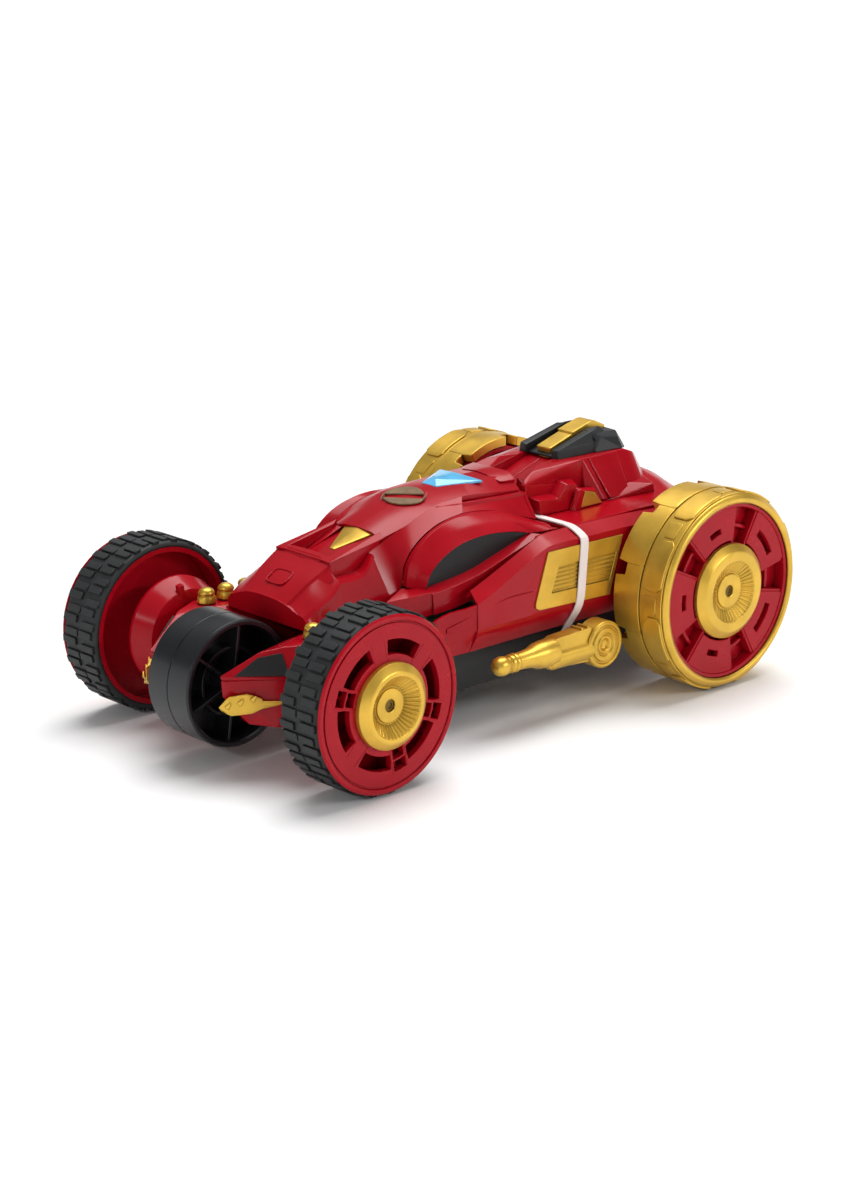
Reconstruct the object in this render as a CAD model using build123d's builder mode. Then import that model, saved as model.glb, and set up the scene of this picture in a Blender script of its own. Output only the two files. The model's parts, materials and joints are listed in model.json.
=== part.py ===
"""Two-sided stunt car: big drum wheels behind, open-fork nose with a roller in front.

Front is -Y, the car's left side is +X, up is +Z. The origin is the bottom centre of the car's box.
"""

from build123d import *
from math import asin, cos, pi, radians, sin, sqrt, tan
import os

os.makedirs("parts", exist_ok=True)

# ---- Driving dimensions, mm ----------------------------------------------------------------------
wheelbase = 209.9
wall = 2.0  # moulded shells
seam = 0.3  # gap between neighbouring shells
fit_gap = 0.15  # insert in its pocket
running = 0.05  # radial clearance of a turning shaft

front_wheel_r = 40.0
front_wheel_width = 24.3
front_wheel_inner = 63.5  # distance of the wheel's inner face from the middle
tyre_thick = 3.7
drum_r = 46.9
drum_width = 30.9
drum_inner = 60.0
drum_thick = 5.7
roller_r = 28.3
roller_width = 27.2
roller_ahead = 19.7  # roller axis ahead of the front axle
roller_z = 35.7

front_axle_r = 2.0
rear_axle_r = 2.5
roller_axle_r = 2.0
module = 0.8
wheel_teeth = 42
pinion_teeth = 12
gear_width = 6.0
motor_r = 12.0
motor_length = 24.0
cell_r = 7.1
cell_length = 50.0

floor_z = 17.0  # underside of the chassis
skirt_z = 36.6  # lower edge of the body shells
deck_z = 81.5  # flat top behind the hood
chassis_half = 44.0
hood_half = 30.0
deck_half = 46.0
pod_half = 57.0
cannon_pivot_z = 29.7
cannon_inner = 60.2
cannon_thick = 10.0
arm_inner = roller_width / 2 + 2.4  # arm's inner face beside the roller
arm_outer = 44.0
hub_r = 25.3

# ---- Places worked out from the driving dimensions -----------------------------------------------
front_y = -(roller_ahead + roller_r + wheelbase + drum_r) / 2 + roller_r + roller_ahead
rear_y = front_y + wheelbase
roller_y = front_y - roller_ahead
rear_end = rear_y + drum_r
rim_seat_r = front_wheel_r - tyre_thick
drum_seat_r = drum_r - drum_thick
front_wheel_outer = front_wheel_inner + front_wheel_width
drum_outer = drum_inner + drum_width
gear_distance = module * (wheel_teeth + pinion_teeth) / 2
motor_y = rear_y - gear_distance
cannon_y = front_y + 148.5
hood_rear_y = front_y + 143.4
turret_front_y = front_y + 150.9
big = 400.0  # longer than the car, for cuts that run right through


# ---- Shared shapes -------------------------------------------------------------------------------
def both_sides(half):
    """A closed outline from its half on the +X side, listed from bottom to top."""
    return half + [(-x, other) for x, other in reversed(half)]


def three_view(side, front, plan, inset=0.0):
    """The solid whose side, front and plan outlines are given, each drawn in by inset."""
    with BuildPart() as solid:
        mode = Mode.ADD
        for view, outline in ((Plane.YZ, side), (Plane.XZ, front), (Plane.XY, plan)):
            with BuildSketch(view):
                with BuildLine():
                    Polyline(*outline, close=True)
                make_face()
                if inset:
                    offset(amount=-inset, kind=Kind.INTERSECTION, mode=Mode.REPLACE)
            extrude(amount=big, both=True, mode=mode)
            mode = Mode.INTERSECT
    return solid.part


def side_prism(outline, low, high):
    """A side outline (y, z) carried from x = low to x = high."""
    with BuildPart() as solid:
        with BuildSketch(Plane.YZ.offset(low)):
            with BuildLine():
                Polyline(*outline, close=True)
            make_face()
        extrude(amount=high - low)
    return solid.part


def turned(outline, y, z):
    """A part turned about the line along X through (y, z); its outline is (x, radius)."""
    centre_plane = Plane(origin=(0, y, z), x_dir=(1, 0, 0), z_dir=(0, -1, 0))
    with BuildPart() as solid:
        with BuildSketch(centre_plane):
            with BuildLine():
                Polyline(*outline, close=True)
            make_face()
        revolve(axis=Axis((0, y, z), (1, 0, 0)))
    return solid.part


def rod(r, low, high, y, z):
    """A round bar along X."""
    with BuildPart() as solid:
        with BuildSketch(Plane(origin=(low, y, z), x_dir=(0, 1, 0), z_dir=(1, 0, 0))):
            Circle(r)
        extrude(amount=high - low)
    return solid.part


def ring_sector(inner, outer, middle_deg, width_deg, low, high, y, z):
    """A slice of a flat ring about X, as long as low to high, centred on an angle from +Y."""
    with BuildPart() as solid:
        with BuildSketch(Plane(origin=(low, y, z), x_dir=(0, 1, 0), z_dir=(1, 0, 0))):
            Circle(outer)
            Circle(inner, mode=Mode.SUBTRACT)
            reach = 2 * outer
            half = width_deg / 2
            corners = [(0, 0)]
            for turn in (-half, 0, half):
                angle = radians(middle_deg + turn)
                corners.append((reach * cos(angle), reach * sin(angle)))
            with BuildLine():
                Polyline(*corners, close=True)
            make_face(mode=Mode.INTERSECT)
        extrude(amount=high - low)
    return solid.part


def gear(teeth, low, high, y, z, first_tooth_deg):
    """An involute spur gear about X; one tooth points at first_tooth_deg from +Y."""
    pitch_r = module * teeth / 2
    base_r = pitch_r * cos(radians(20))
    tip_r = pitch_r + 0.9 * module
    root_r = pitch_r - 1.25 * module
    low_r = max(root_r, base_r)  # foot of the involute
    backlash = 0.12

    def flank_angle(r):
        """Half the tooth's angle at radius r."""
        r = max(r, base_r)
        involute = tan(radians(20)) - radians(20)
        press = sqrt(max((r / base_r) ** 2 - 1, 0))
        here = press - asin(press / sqrt(1 + press**2))
        return pi / (2 * teeth) - backlash / (2 * pitch_r) + involute - here

    def point(r, angle):
        return (r * cos(angle), r * sin(angle))

    with BuildPart() as solid:
        with BuildSketch(Plane(origin=(low, y, z), x_dir=(0, 1, 0), z_dir=(1, 0, 0))):
            with BuildLine():
                for tooth in range(teeth):
                    middle = radians(first_tooth_deg) + 2 * pi * tooth / teeth
                    step = pi / teeth
                    flank = [(r, flank_angle(r)) for r in (low_r, (low_r + tip_r) / 2, tip_r)]
                    foot = flank[0][1]
                    tip = flank[2][1]
                    Line(point(root_r, middle - step), point(root_r, middle - foot))
                    if low_r > root_r:
                        Line(point(root_r, middle - foot), point(low_r, middle - foot))
                    ThreePointArc(*[point(r, middle - half) for r, half in flank])
                    Line(point(tip_r, middle - tip), point(tip_r, middle + tip))
                    ThreePointArc(*[point(r, middle + half) for r, half in reversed(flank)])
                    if low_r > root_r:
                        Line(point(low_r, middle + foot), point(root_r, middle + foot))
                    Line(point(root_r, middle + foot), point(root_r, middle + step))
            make_face()
        extrude(amount=high - low)
    return solid.part


def save(part, name):
    part.label = name
    export_step(part, "parts/" + name + ".step")


def save_pair(part, name):
    """Writes the left piece and its mirror image."""
    save(part, name + "_left")
    save(mirror(part, about=Plane.YZ), name + "_right")


# ---- Chassis: an open tray with a battery bay in its floor ---------------------------------------
chassis_front = front_y + 20.0
chassis_rear = rear_y + 33.0
narrow_half = arm_inner - seam
shoulder_y = front_y + 46.0
arm_rear = shoulder_y - seam
bay_front = front_y + 62.4
bay_length = cell_length + 8.0
bay_half = 4 * cell_r + 2.0
door_lip = 2.0
switch_y = front_y + 150.4
switch_travel = 5.0
switch_length = 7.0
switch_width = 5.0
screw_r = 1.5
screw_head_r = 2.8
post_r = 4.0
deck_post_y = hood_rear_y + 13.0
tail_post_y = rear_y + 23.0
hood_post_y = front_y + 54.4
rear_posts = [(34.0, deck_post_y), (-34.0, deck_post_y), (22.0, tail_post_y), (-22.0, tail_post_y)]
front_posts = [(22.0, hood_post_y), (-22.0, hood_post_y)]
skid_y = front_y + 189.4
skid_depth = 2.0  # flat pad under the gearboxes, below the band and the switch
board_top = 46.0
board_thick = 1.6
bay_middle = bay_front + bay_length / 2
board_reach = bay_length / 2 + wall / 2  # stand-offs rise from the end walls of the bay
board_posts = [(x, bay_middle + end) for x in (10.0, -10.0) for end in (board_reach, -board_reach)]

tray_plan = [
    (narrow_half, chassis_front),
    (narrow_half, shoulder_y),
    (chassis_half - 12, shoulder_y),
    (chassis_half, shoulder_y + 14),
    (chassis_half, chassis_rear - 10),
    (chassis_half - 12, chassis_rear),
]

with BuildPart() as chassis_tub:
    with BuildSketch(Plane.XY.offset(floor_z)):
        with BuildLine():
            Polyline(*both_sides(tray_plan), close=True)
        make_face()
    extrude(amount=skirt_z - seam - floor_z)
    with BuildSketch(Plane.XY.offset(floor_z + wall)):
        with BuildLine():
            Polyline(*both_sides(tray_plan), close=True)
        make_face()
        offset(amount=-wall, kind=Kind.INTERSECTION, mode=Mode.REPLACE)
    extrude(amount=big, mode=Mode.SUBTRACT)
    # Flat skid pad that the car can rest on.
    with BuildSketch(Plane((0, skid_y, floor_z - skid_depth))):
        RectangleRounded(56, 36, 3)
    extrude(amount=skid_depth)
    # Walls round the cells, and stand-offs that carry the circuit board.
    with BuildSketch(Plane((0, bay_middle, floor_z + wall))):
        Rectangle(2 * bay_half + 2 * wall, bay_length + 2 * wall)
        Rectangle(2 * bay_half, bay_length, mode=Mode.SUBTRACT)
    extrude(amount=2 * cell_r)
    with BuildSketch(Plane.XY.offset(floor_z + wall)):
        with Locations(*board_posts):
            Circle(2.5)
    extrude(amount=board_top - board_thick - floor_z - wall)
    # Battery door opening with a lip, and the switch slot.
    with BuildSketch(Plane((0, bay_middle, floor_z))):
        Rectangle(2 * bay_half - 2 * door_lip, bay_length - 2 * door_lip)
    extrude(amount=wall, mode=Mode.SUBTRACT)
    with BuildSketch(Plane((0, bay_middle, floor_z))):
        Rectangle(2 * bay_half, bay_length)
    extrude(amount=wall / 2, mode=Mode.SUBTRACT)
    with BuildSketch(Plane((0, switch_y + switch_travel / 2, floor_z))):
        Rectangle(switch_width + 2 * seam, switch_length + switch_travel + 2 * seam)
    extrude(amount=wall, mode=Mode.SUBTRACT)
    # Screw holes with sunk heads.
    for x, y in rear_posts + front_posts:
        with BuildSketch(Plane((x, y, floor_z))):
            Circle(screw_r + fit_gap)
        extrude(amount=wall, mode=Mode.SUBTRACT)
        with BuildSketch(Plane((x, y, floor_z))):
            Circle(screw_head_r + fit_gap)
        extrude(amount=wall / 2, mode=Mode.SUBTRACT)
    # Bosses that hold the cannon pins.
    for side in (1, -1):
        with BuildSketch(Plane(origin=(side * (chassis_half - wall), cannon_y, cannon_pivot_z),
                               x_dir=(0, 1, 0), z_dir=(-side, 0, 0))):
            Circle(4.5)
        extrude(amount=6)
        with BuildSketch(Plane(origin=(side * (chassis_half + 1), cannon_y, cannon_pivot_z),
                               x_dir=(0, 1, 0), z_dir=(-side, 0, 0))):
            Circle(2.2)
        extrude(amount=12, mode=Mode.SUBTRACT)
save(chassis_tub.part, "chassis_tub")

with BuildPart() as battery_door:
    with BuildSketch(Plane((0, bay_middle, floor_z))):
        Rectangle(2 * bay_half - 2 * seam, bay_length - 2 * seam)
    extrude(amount=wall / 2 - seam)
    with BuildSketch(Plane((0, bay_middle, floor_z))):
        Rectangle(2 * bay_half - 2 * door_lip - 2 * seam, bay_length - 2 * door_lip - 2 * seam)
    extrude(amount=wall)
    with BuildSketch(Plane((0, bay_front + bay_length - 9, floor_z))):
        SlotOverall(16, 5)
    extrude(amount=0.8, mode=Mode.SUBTRACT)
save(battery_door.part, "battery_door")

with BuildPart() as battery_cells:
    for row in (-1.5, -0.5, 0.5, 1.5):
        centre = Plane(origin=(row * (2 * cell_r + 0.4), bay_front + 4.0, floor_z + wall + cell_r + seam),
                       x_dir=(1, 0, 0), z_dir=(0, 1, 0))
        with BuildSketch(centre):
            Circle(cell_r)
        extrude(amount=cell_length - 1)
        with BuildSketch(centre.offset(cell_length - 1)):
            Circle(2.7)
        extrude(amount=1)
save(battery_cells.part, "battery_cells")

board_half = 26.0
board_length = 2 * board_reach + 5.0
with BuildPart() as circuit_board:
    with BuildSketch(Plane((0, bay_middle, board_top - board_thick))):
        Rectangle(2 * board_half, board_length)
    extrude(amount=board_thick)
    # Chips, then capacitors and the crystal.
    with BuildSketch(Plane((0, bay_middle, board_top))):
        with Locations((-10, 6), (12, -12)):
            Rectangle(12, 10)
        with Locations((9, 14)):
            Rectangle(16, 6)
    extrude(amount=2.0)
    with BuildSketch(Plane((0, bay_middle, board_top))):
        with Locations((-21, -16), (-21, 4), (21, 20)):
            Circle(3.2)
    extrude(amount=9.0)
save(circuit_board.part, "circuit_board")

with BuildPart() as power_switch:
    with BuildSketch(Plane((0, switch_y, floor_z - 1.6))):
        RectangleRounded(switch_width, switch_length, 1.0)
    extrude(amount=wall + 3.6)
    with BuildSketch(Plane((0, switch_y, floor_z + wall + seam))):
        Rectangle(switch_width + 4, switch_length + 4)
    extrude(amount=1.7)
save(power_switch.part, "power_switch")

with BuildPart() as body_screws:
    for x, y in rear_posts + front_posts:
        with BuildSketch(Plane((x, y, floor_z + 0.1))):
            Circle(screw_head_r)
        extrude(amount=wall / 2 - 0.1)
        with BuildSketch(Plane((x, y, floor_z + wall / 2))):
            Circle(screw_r)
        extrude(amount=14.0)
        with BuildSketch(Plane((x, y, floor_z + 0.1))):
            Rectangle(3.6, 0.8)
            Rectangle(0.8, 3.6)
        extrude(amount=0.6, mode=Mode.SUBTRACT)
save(body_screws.part, "body_screws")


# ---- Body shells ---------------------------------------------------------------------------------
def posts(places, top):
    """Screw posts that hang from a shell down to the chassis floor."""
    with BuildPart() as columns:
        for x, y in places:
            with BuildSketch(Plane((x, y, floor_z + wall))):
                Circle(post_r)
                Circle(screw_r, mode=Mode.SUBTRACT)
            extrude(amount=top - floor_z - wall)
    return columns.part


nose_front = front_y + 5.0
nose_rear = front_y + 28.6
nose_base = 57.3
nose_half = 26.0
nose_lip_z = 66.5
bonnet_z = 80.5  # where the nose meets the hood


def nose_outlines(drop):
    side = [
        (nose_front + 1.0, nose_base - drop),
        (nose_front, nose_lip_z),
        (nose_rear, bonnet_z),
        (nose_rear, nose_base - drop),
    ]
    front = both_sides([
        (nose_half, nose_base - drop),
        (nose_half, 60.0),
        (21.0, 66.0),
        (17.0, bonnet_z + 0.1),
    ])
    plan = both_sides([(nose_half, nose_front), (nose_half, nose_rear)])
    return side, front, plan


with BuildPart() as nose_panel:
    add(three_view(*nose_outlines(0)))
    add(three_view(*nose_outlines(3 * wall), inset=wall), mode=Mode.SUBTRACT)
    # Rounded shallow pocket in the sloping face.
    slope = Plane(origin=(0, (nose_front + nose_rear) / 2, (nose_lip_z + bonnet_z) / 2), x_dir=(1, 0, 0),
                  z_dir=(0, nose_lip_z - bonnet_z, nose_rear - nose_front))
    with BuildSketch(slope.offset(-0.8)):
        RectangleRounded(17, 15, 3)
    extrude(amount=6, mode=Mode.SUBTRACT)
save(nose_panel.part, "nose_panel")

hood_front = nose_rear + seam
vent_front = front_y + 35.0
vent_rear = front_y + 61.0
vent_half = 11.0
canopy_front = front_y + 103.7
canopy_rear = front_y + 124.3
vent_rear_z = 87.0
roof_z = 99.6  # roof in front of the canopy


def hood_outlines(drop):
    side = [
        (hood_front, nose_base),
        (hood_front, bonnet_z),
        (vent_rear, vent_rear_z),
        (canopy_front - 1, roof_z),
        (canopy_rear, 101.2),
        (hood_rear_y, 94.5),
        (hood_rear_y, skirt_z - drop),
        (shoulder_y, skirt_z - drop),
        (shoulder_y, nose_base),
    ]
    front = both_sides([(hood_half, skirt_z - drop), (hood_half, 80.0), (21.5, 92.0), (15.0, 101.3)])
    plan = both_sides([
        (18.0, hood_front),
        (23.0, front_y + 46.4),
        (hood_half, front_y + 59.4),
        (hood_half, hood_rear_y),
    ])
    return side, front, plan


vent_outline = [(vent_half, vent_front), (vent_half - 1, vent_rear)]
canopy_plan = both_sides([(4.7, canopy_front), (14.2, canopy_rear)])
canopy_seat = 98.4
badge_long = 10.0
badge_short = 7.2
roof_slope = (roof_z - vent_rear_z) / (canopy_front - 1 - vent_rear)
badge_y = front_y + 88.4
badge_z = vent_rear_z + roof_slope * (badge_y - vent_rear)
badge_plane = Plane(origin=(0, badge_y, badge_z), x_dir=(1, 0, 0), z_dir=(0, -roof_slope, 1))

with BuildPart() as hood_shell:
    add(three_view(*hood_outlines(0)))
    add(three_view(*hood_outlines(3 * wall), inset=wall), mode=Mode.SUBTRACT)
    add(posts(front_posts, 78.0))
    with BuildSketch(Plane.XY.offset(70)):
        with BuildLine():
            Polyline(*both_sides(vent_outline), close=True)
        make_face()
    extrude(amount=40, mode=Mode.SUBTRACT)
    with BuildSketch(Plane.XY.offset(canopy_seat)):
        with BuildLine():
            Polyline(*canopy_plan, close=True)
        make_face()
        offset(amount=fit_gap, kind=Kind.INTERSECTION, mode=Mode.REPLACE)
    extrude(amount=20, mode=Mode.SUBTRACT)
    with BuildSketch(badge_plane.offset(-0.8)):
        Ellipse(badge_long + fit_gap, badge_short + fit_gap)
    extrude(amount=10, mode=Mode.SUBTRACT)
save(hood_shell.part, "hood_shell")

with BuildPart() as canopy_lens:
    lens_side = [
        (canopy_front, canopy_seat),
        (canopy_front, 99.9),
        (canopy_rear - 4, 102.1),
        (canopy_rear, 101.7),
        (canopy_rear, canopy_seat),
    ]
    lens_front = both_sides([(15.0, canopy_seat), (15.0, 100.6), (5.5, 102.2)])
    add(three_view(lens_side, lens_front, canopy_plan))
save(canopy_lens.part, "canopy_lens")

with BuildPart() as hood_badge:
    with BuildSketch(badge_plane.offset(-0.8)):
        Ellipse(badge_long, badge_short)
        with Locations(Location((0, 0), 35)):
            Rectangle(30, 1.2, mode=Mode.SUBTRACT)
    extrude(amount=1.2)
save(hood_badge.part, "hood_badge")

with BuildPart() as hood_vent_insert:
    insert_side = [
        (vent_front, 76.0),
        (vent_front, 79.0),
        (vent_front + 9, 80.5),
        (vent_rear - fit_gap, 89.3),
        (vent_rear - fit_gap, 76.0),
    ]
    insert_front = both_sides([(vent_half, 76.0), (vent_half, 84.8), (0.4, 89.3)])
    add(three_view(insert_side, insert_front, both_sides(vent_outline), inset=fit_gap))
save(hood_vent_insert.part, "hood_vent_insert")

fender_inner = hood_half + seam
fender_outer = 45.7
fender_front = front_y + 56.0
window_front = front_y + 68.4
window_rear = front_y + 124.0
window_base = 67.0


def fender_outlines(drop):
    side = [
        (fender_front, skirt_z - drop),
        (fender_front, 72.0),
        (fender_front + 5, 81.0),
        (fender_front + 16, 88.5),
        (fender_front + 32, 92.0),
        (fender_front + 50, 91.0),
        (hood_rear_y - 6, deck_z),
        (hood_rear_y, deck_z),
        (hood_rear_y, skirt_z - drop),
    ]
    front = [
        (fender_inner, skirt_z - drop),
        (fender_inner, 92.3),
        (33.5, 92.3),
        (fender_outer, 72.0),
        (fender_outer, skirt_z - drop),
    ]
    plan = [
        (fender_inner, fender_front),
        (36.0, fender_front),
        (fender_outer, fender_front + 18),
        (fender_outer, hood_rear_y),
        (fender_inner, hood_rear_y),
    ]
    return side, front, plan


def window_outline(grow):
    """The cabin window seen from the side: a flat bottom and a long low arch."""
    crown = ((window_front + window_rear) / 2 - 4, 83.5)
    with BuildPart() as solid:
        with BuildSketch(Plane.YZ):
            with BuildLine():
                Line((window_front, window_base), (window_rear, window_base + 11))
                ThreePointArc((window_rear, window_base + 11), crown, (window_front, window_base))
            make_face()
            if grow:
                offset(amount=grow, mode=Mode.REPLACE)
        extrude(amount=big)
    return solid.part


fender_body = three_view(*fender_outlines(0)) - three_view(*fender_outlines(3 * wall), inset=wall)
with BuildPart() as fender:
    add(fender_body)
    add(window_outline(fit_gap), mode=Mode.SUBTRACT)
save_pair(max(fender.part.solids(), key=lambda piece: piece.volume), "fender")

outer_skin = fender_body & window_outline(0)
window_piece = max(outer_skin.solids(), key=lambda piece: piece.center().X)
with BuildPart() as side_windows:
    add(window_piece)
    mirror(about=Plane.YZ)
save(side_windows.part, "side_windows")

pod_inner = deck_half + seam
pod_front = front_y + 62.0
pod_rear = rear_y + 14.0
shoulder_drop = 4.5
hole_for_boss = 6.2


def pod_outlines(reach):
    side = [
        (pod_front + 2, 50.0),
        (pod_front + 9, skirt_z),
        (pod_rear, skirt_z),
        (pod_rear, deck_z),
        (pod_front + 62, deck_z),
        (pod_front + 21, 64.0),
    ]
    front = [
        (pod_inner - reach, skirt_z),
        (50.0, skirt_z),
        (pod_half, 48.0),
        (pod_half, deck_z - shoulder_drop),
        (49.0, deck_z),
        (pod_inner - reach, deck_z),
    ]
    plan = [
        (pod_inner - reach, pod_front),
        (51.0, pod_front),
        (pod_half, pod_front + 32),
        (pod_half, pod_rear),
        (pod_inner - reach, pod_rear),
    ]
    return side, front, plan


grille_outline = [
    (front_y + 125.0, 74.5),
    (front_y + 172.5, 73.8),
    (front_y + 165.0, 47.5),
    (front_y + 121.0, 49.6),
    (front_y + 116.5, 52.5),
]
grille_sink = 1.0
grille_proud = 0.7
with BuildPart() as side_pod:
    add(three_view(*pod_outlines(0)))
    add(three_view(*pod_outlines(3 * wall), inset=wall), mode=Mode.SUBTRACT)
    add(rod(hole_for_boss, pod_inner, pod_half + wall, rear_y, drum_r), mode=Mode.SUBTRACT)
    with BuildSketch(Plane.YZ.offset(pod_half - grille_sink)):
        with BuildLine():
            Polyline(*grille_outline, close=True)
        make_face()
        offset(amount=fit_gap, kind=Kind.INTERSECTION, mode=Mode.REPLACE)
    extrude(amount=5, mode=Mode.SUBTRACT)
save_pair(side_pod.part, "side_pod")

slats = 5
with BuildPart() as side_grilles:
    with BuildSketch(Plane.YZ.offset(pod_half - grille_sink)):
        with BuildLine():
            Polyline(*grille_outline, close=True)
        make_face()
    extrude(amount=grille_sink + grille_proud)
    for slat in range(slats):
        height = 54.5 + slat * 2.9
        with BuildSketch(Plane.YZ.offset(pod_half + grille_proud - 0.8)):
            with Locations((front_y + 147.0 + slat, height)):
                Rectangle(35, 1.5)
        extrude(amount=2, mode=Mode.SUBTRACT)
    mirror(about=Plane.YZ)
save(side_grilles.part, "side_grilles")

deck_front = hood_rear_y + seam
deck_rear = rear_end - 2.4


def deck_outlines(drop):
    side = [
        (deck_front, skirt_z - drop),
        (deck_front, deck_z),
        (rear_y + 20, deck_z),
        (deck_rear - 8, 76.0),
        (deck_rear, 66.0),
        (deck_rear - 3, skirt_z - drop),
    ]
    front = both_sides([(deck_half, skirt_z - drop), (deck_half, deck_z)])
    plan = both_sides([(deck_half, deck_front), (deck_half, rear_y + 26), (34.0, deck_rear)])
    return side, front, plan


# Small intake scoops moulded on the deck beside the turret; their inserts come later.
scoop_half = 4.5
scoop_x = 40.5
scoop_y = front_y + 166.0
scoop_profile = [
    (scoop_y - 8, deck_z - 1),
    (scoop_y - 4, deck_z + 8.5),
    (scoop_y + 3, deck_z + 10.5),
    (scoop_y + 12, deck_z - 1),
]

with BuildPart() as rear_deck:
    add(three_view(*deck_outlines(0)))
    add(three_view(*deck_outlines(3 * wall), inset=wall), mode=Mode.SUBTRACT)
    for side in (1, -1):
        add(side_prism(scoop_profile, side * scoop_x - scoop_half, side * scoop_x + scoop_half))
    add(posts(rear_posts[:2], deck_z - wall / 2))
    add(posts(rear_posts[2:], deck_z - wall / 2))
    # Slots that drop over the two axle bosses.
    with BuildSketch(Plane.YZ.offset(-big / 2)):
        with Locations((rear_y, drum_r)):
            Circle(hole_for_boss)
        with Locations((rear_y, drum_r / 2)):
            Rectangle(2 * hole_for_boss, drum_r)
    extrude(amount=big, mode=Mode.SUBTRACT)
save(rear_deck.part, "rear_deck")


# ---- Turret on the deck --------------------------------------------------------------------------
turret_base = deck_z
turret_top = 101.0
turret_half = 36.0
turret_rear = front_y + 233.0
saddle_half = 13.5
spine_half = 4.5


def turret_outlines(drop):
    side = [
        (turret_front_y, turret_base - drop),
        (turret_front_y, turret_base + 5),
        (turret_front_y + 14, 97.0),
        (front_y + 174.5, turret_top - 0.8),
        (front_y + 180, turret_top),
        (front_y + 209, turret_top),
        (front_y + 223, 97.5),
        (turret_rear, turret_base + 3),
        (turret_rear, turret_base - drop),
    ]
    front = both_sides([(turret_half, turret_base - drop), (turret_half, turret_base + 2), (31.0, 88.0),
                        (20.5, turret_top)])
    plan = both_sides([(21.0, turret_front_y), (25.0, turret_front_y + 18), (turret_half, front_y + 186),
                       (turret_half, front_y + 214), (20.0, turret_rear)])
    return side, front, plan


with BuildPart() as turret_housing:
    add(three_view(*turret_outlines(0)))
    add(three_view(*turret_outlines(3 * wall), inset=wall), mode=Mode.SUBTRACT)
save(turret_housing.part, "turret_housing")

with BuildPart() as turret_cap:
    cap_side = [
        (front_y + 174.0, turret_top),
        (front_y + 174.2, 105.2),
        (front_y + 192.0, 108.8),
        (front_y + 215.9, 108.7),
        (front_y + 223.0, turret_top),
    ]
    cap_front = both_sides([(saddle_half, turret_top), (saddle_half, 104.5), (10.5, 109.5)])
    cap_plan = both_sides([(saddle_half, front_y + 174), (saddle_half, front_y + 223)])
    add(three_view(cap_side, cap_front, cap_plan))
    with BuildSketch(Plane.XZ.offset(-front_y - 170)):
        with Locations((0, turret_top + 10)):
            Rectangle(2 * spine_half + 2 * fit_gap, 20)
    extrude(amount=-42.5, mode=Mode.SUBTRACT)
save(turret_cap.part, "turret_cap")

spine_outline = [
    (front_y + 178.0, turret_top),
    (front_y + 178.6, 104.9),
    (front_y + 193.5, 109.8),
    (front_y + 196.5, 111.0),
    (front_y + 205.8, 113.7),
    (front_y + 212.0, 112.5),
    (front_y + 212.0, turret_top),
]
save(side_prism(spine_outline, -spine_half, spine_half), "turret_spine")

with BuildPart() as scoop_inserts:
    for side in (1, -1):
        insert_profile = [
            (scoop_y - 3, deck_z + 2.0),
            (scoop_y - 1.5, deck_z + 7.5),
            (scoop_y + 2.5, deck_z + 8.5),
            (scoop_y + 8, deck_z + 2.0),
        ]
        outer_face = side * (scoop_x + scoop_half)
        add(side_prism(insert_profile, outer_face if side > 0 else outer_face - 1,
                       outer_face + 1 if side > 0 else outer_face))
save(scoop_inserts.part, "scoop_inserts")


# ---- Open fork at the front ----------------------------------------------------------------------
arm_tip = roller_y - 20.0
arm_side = [
    (arm_tip, 36.0),
    (arm_tip + 0.5, 47.5),
    (arm_tip + 20, 55.0),
    (arm_tip + 36, 56.5),
    (arm_rear, 56.5),
    (arm_rear, floor_z),
    (front_y - 10, floor_z),
    (arm_tip + 10, 24.0),
]
arm_front = [(arm_inner, 0), (arm_outer, 0), (arm_outer, 60), (arm_inner, 60)]
arm_plan = [
    (arm_inner, arm_tip),
    (24.5, arm_tip),
    (arm_outer, front_y - 14),
    (arm_outer, front_y + 26),
    (30.0, arm_rear),
    (arm_inner, arm_rear),
]
arm_cavity_plan = [(x - (4 * wall if x == arm_inner else 0), y) for x, y in arm_plan]
arm_cavity_front = [(x - (4 * wall if x == arm_inner else 0), z) for x, z in arm_front]
axle_boss_r = 5.0
roller_bore_end = arm_inner + 9.0
outer_arm_face = Plane(origin=(24.5, arm_tip, 0), x_dir=(arm_outer - 24.5, front_y - 14 - arm_tip, 0),
                       z_dir=(front_y - 14 - arm_tip, 24.5 - arm_outer, 0))
window_local = [(16.0, 45.2), (24.0, 50.0), (29.5, 50.5), (32.0, 45.2)]

with BuildPart() as fork_arm:
    add(three_view(arm_side, arm_front, arm_plan))
    add(three_view(arm_side, arm_cavity_front, arm_cavity_plan, inset=wall), mode=Mode.SUBTRACT)
    # Bosses for the roller axle and the wheel housing, then their bores.
    add(rod(axle_boss_r, arm_inner, arm_outer - 9.5, roller_y, roller_z))
    add(rod(roller_axle_r, arm_inner - 1, roller_bore_end, roller_y, roller_z), mode=Mode.SUBTRACT)
    add(rod(axle_boss_r, arm_inner, arm_outer - wall / 2, front_y, front_wheel_r))
    add(rod(front_axle_r + running, arm_outer - 14, arm_outer + 1, front_y, front_wheel_r),
        mode=Mode.SUBTRACT)
    # Shallow window pocket in the flared outer face.
    with BuildSketch(outer_arm_face.offset(-1.0)):
        with BuildLine():
            Polyline(*window_local, close=True)
        make_face()
        offset(amount=fit_gap, kind=Kind.INTERSECTION, mode=Mode.REPLACE)
    extrude(amount=6, mode=Mode.SUBTRACT)
save_pair(fork_arm.part, "fork_arm")

with BuildPart() as fork_windows:
    with BuildSketch(outer_arm_face.offset(-1.0)):
        with BuildLine():
            Polyline(*window_local, close=True)
        make_face()
    extrude(amount=0.9)
    mirror(about=Plane.YZ)
save(fork_windows.part, "fork_windows")

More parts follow.
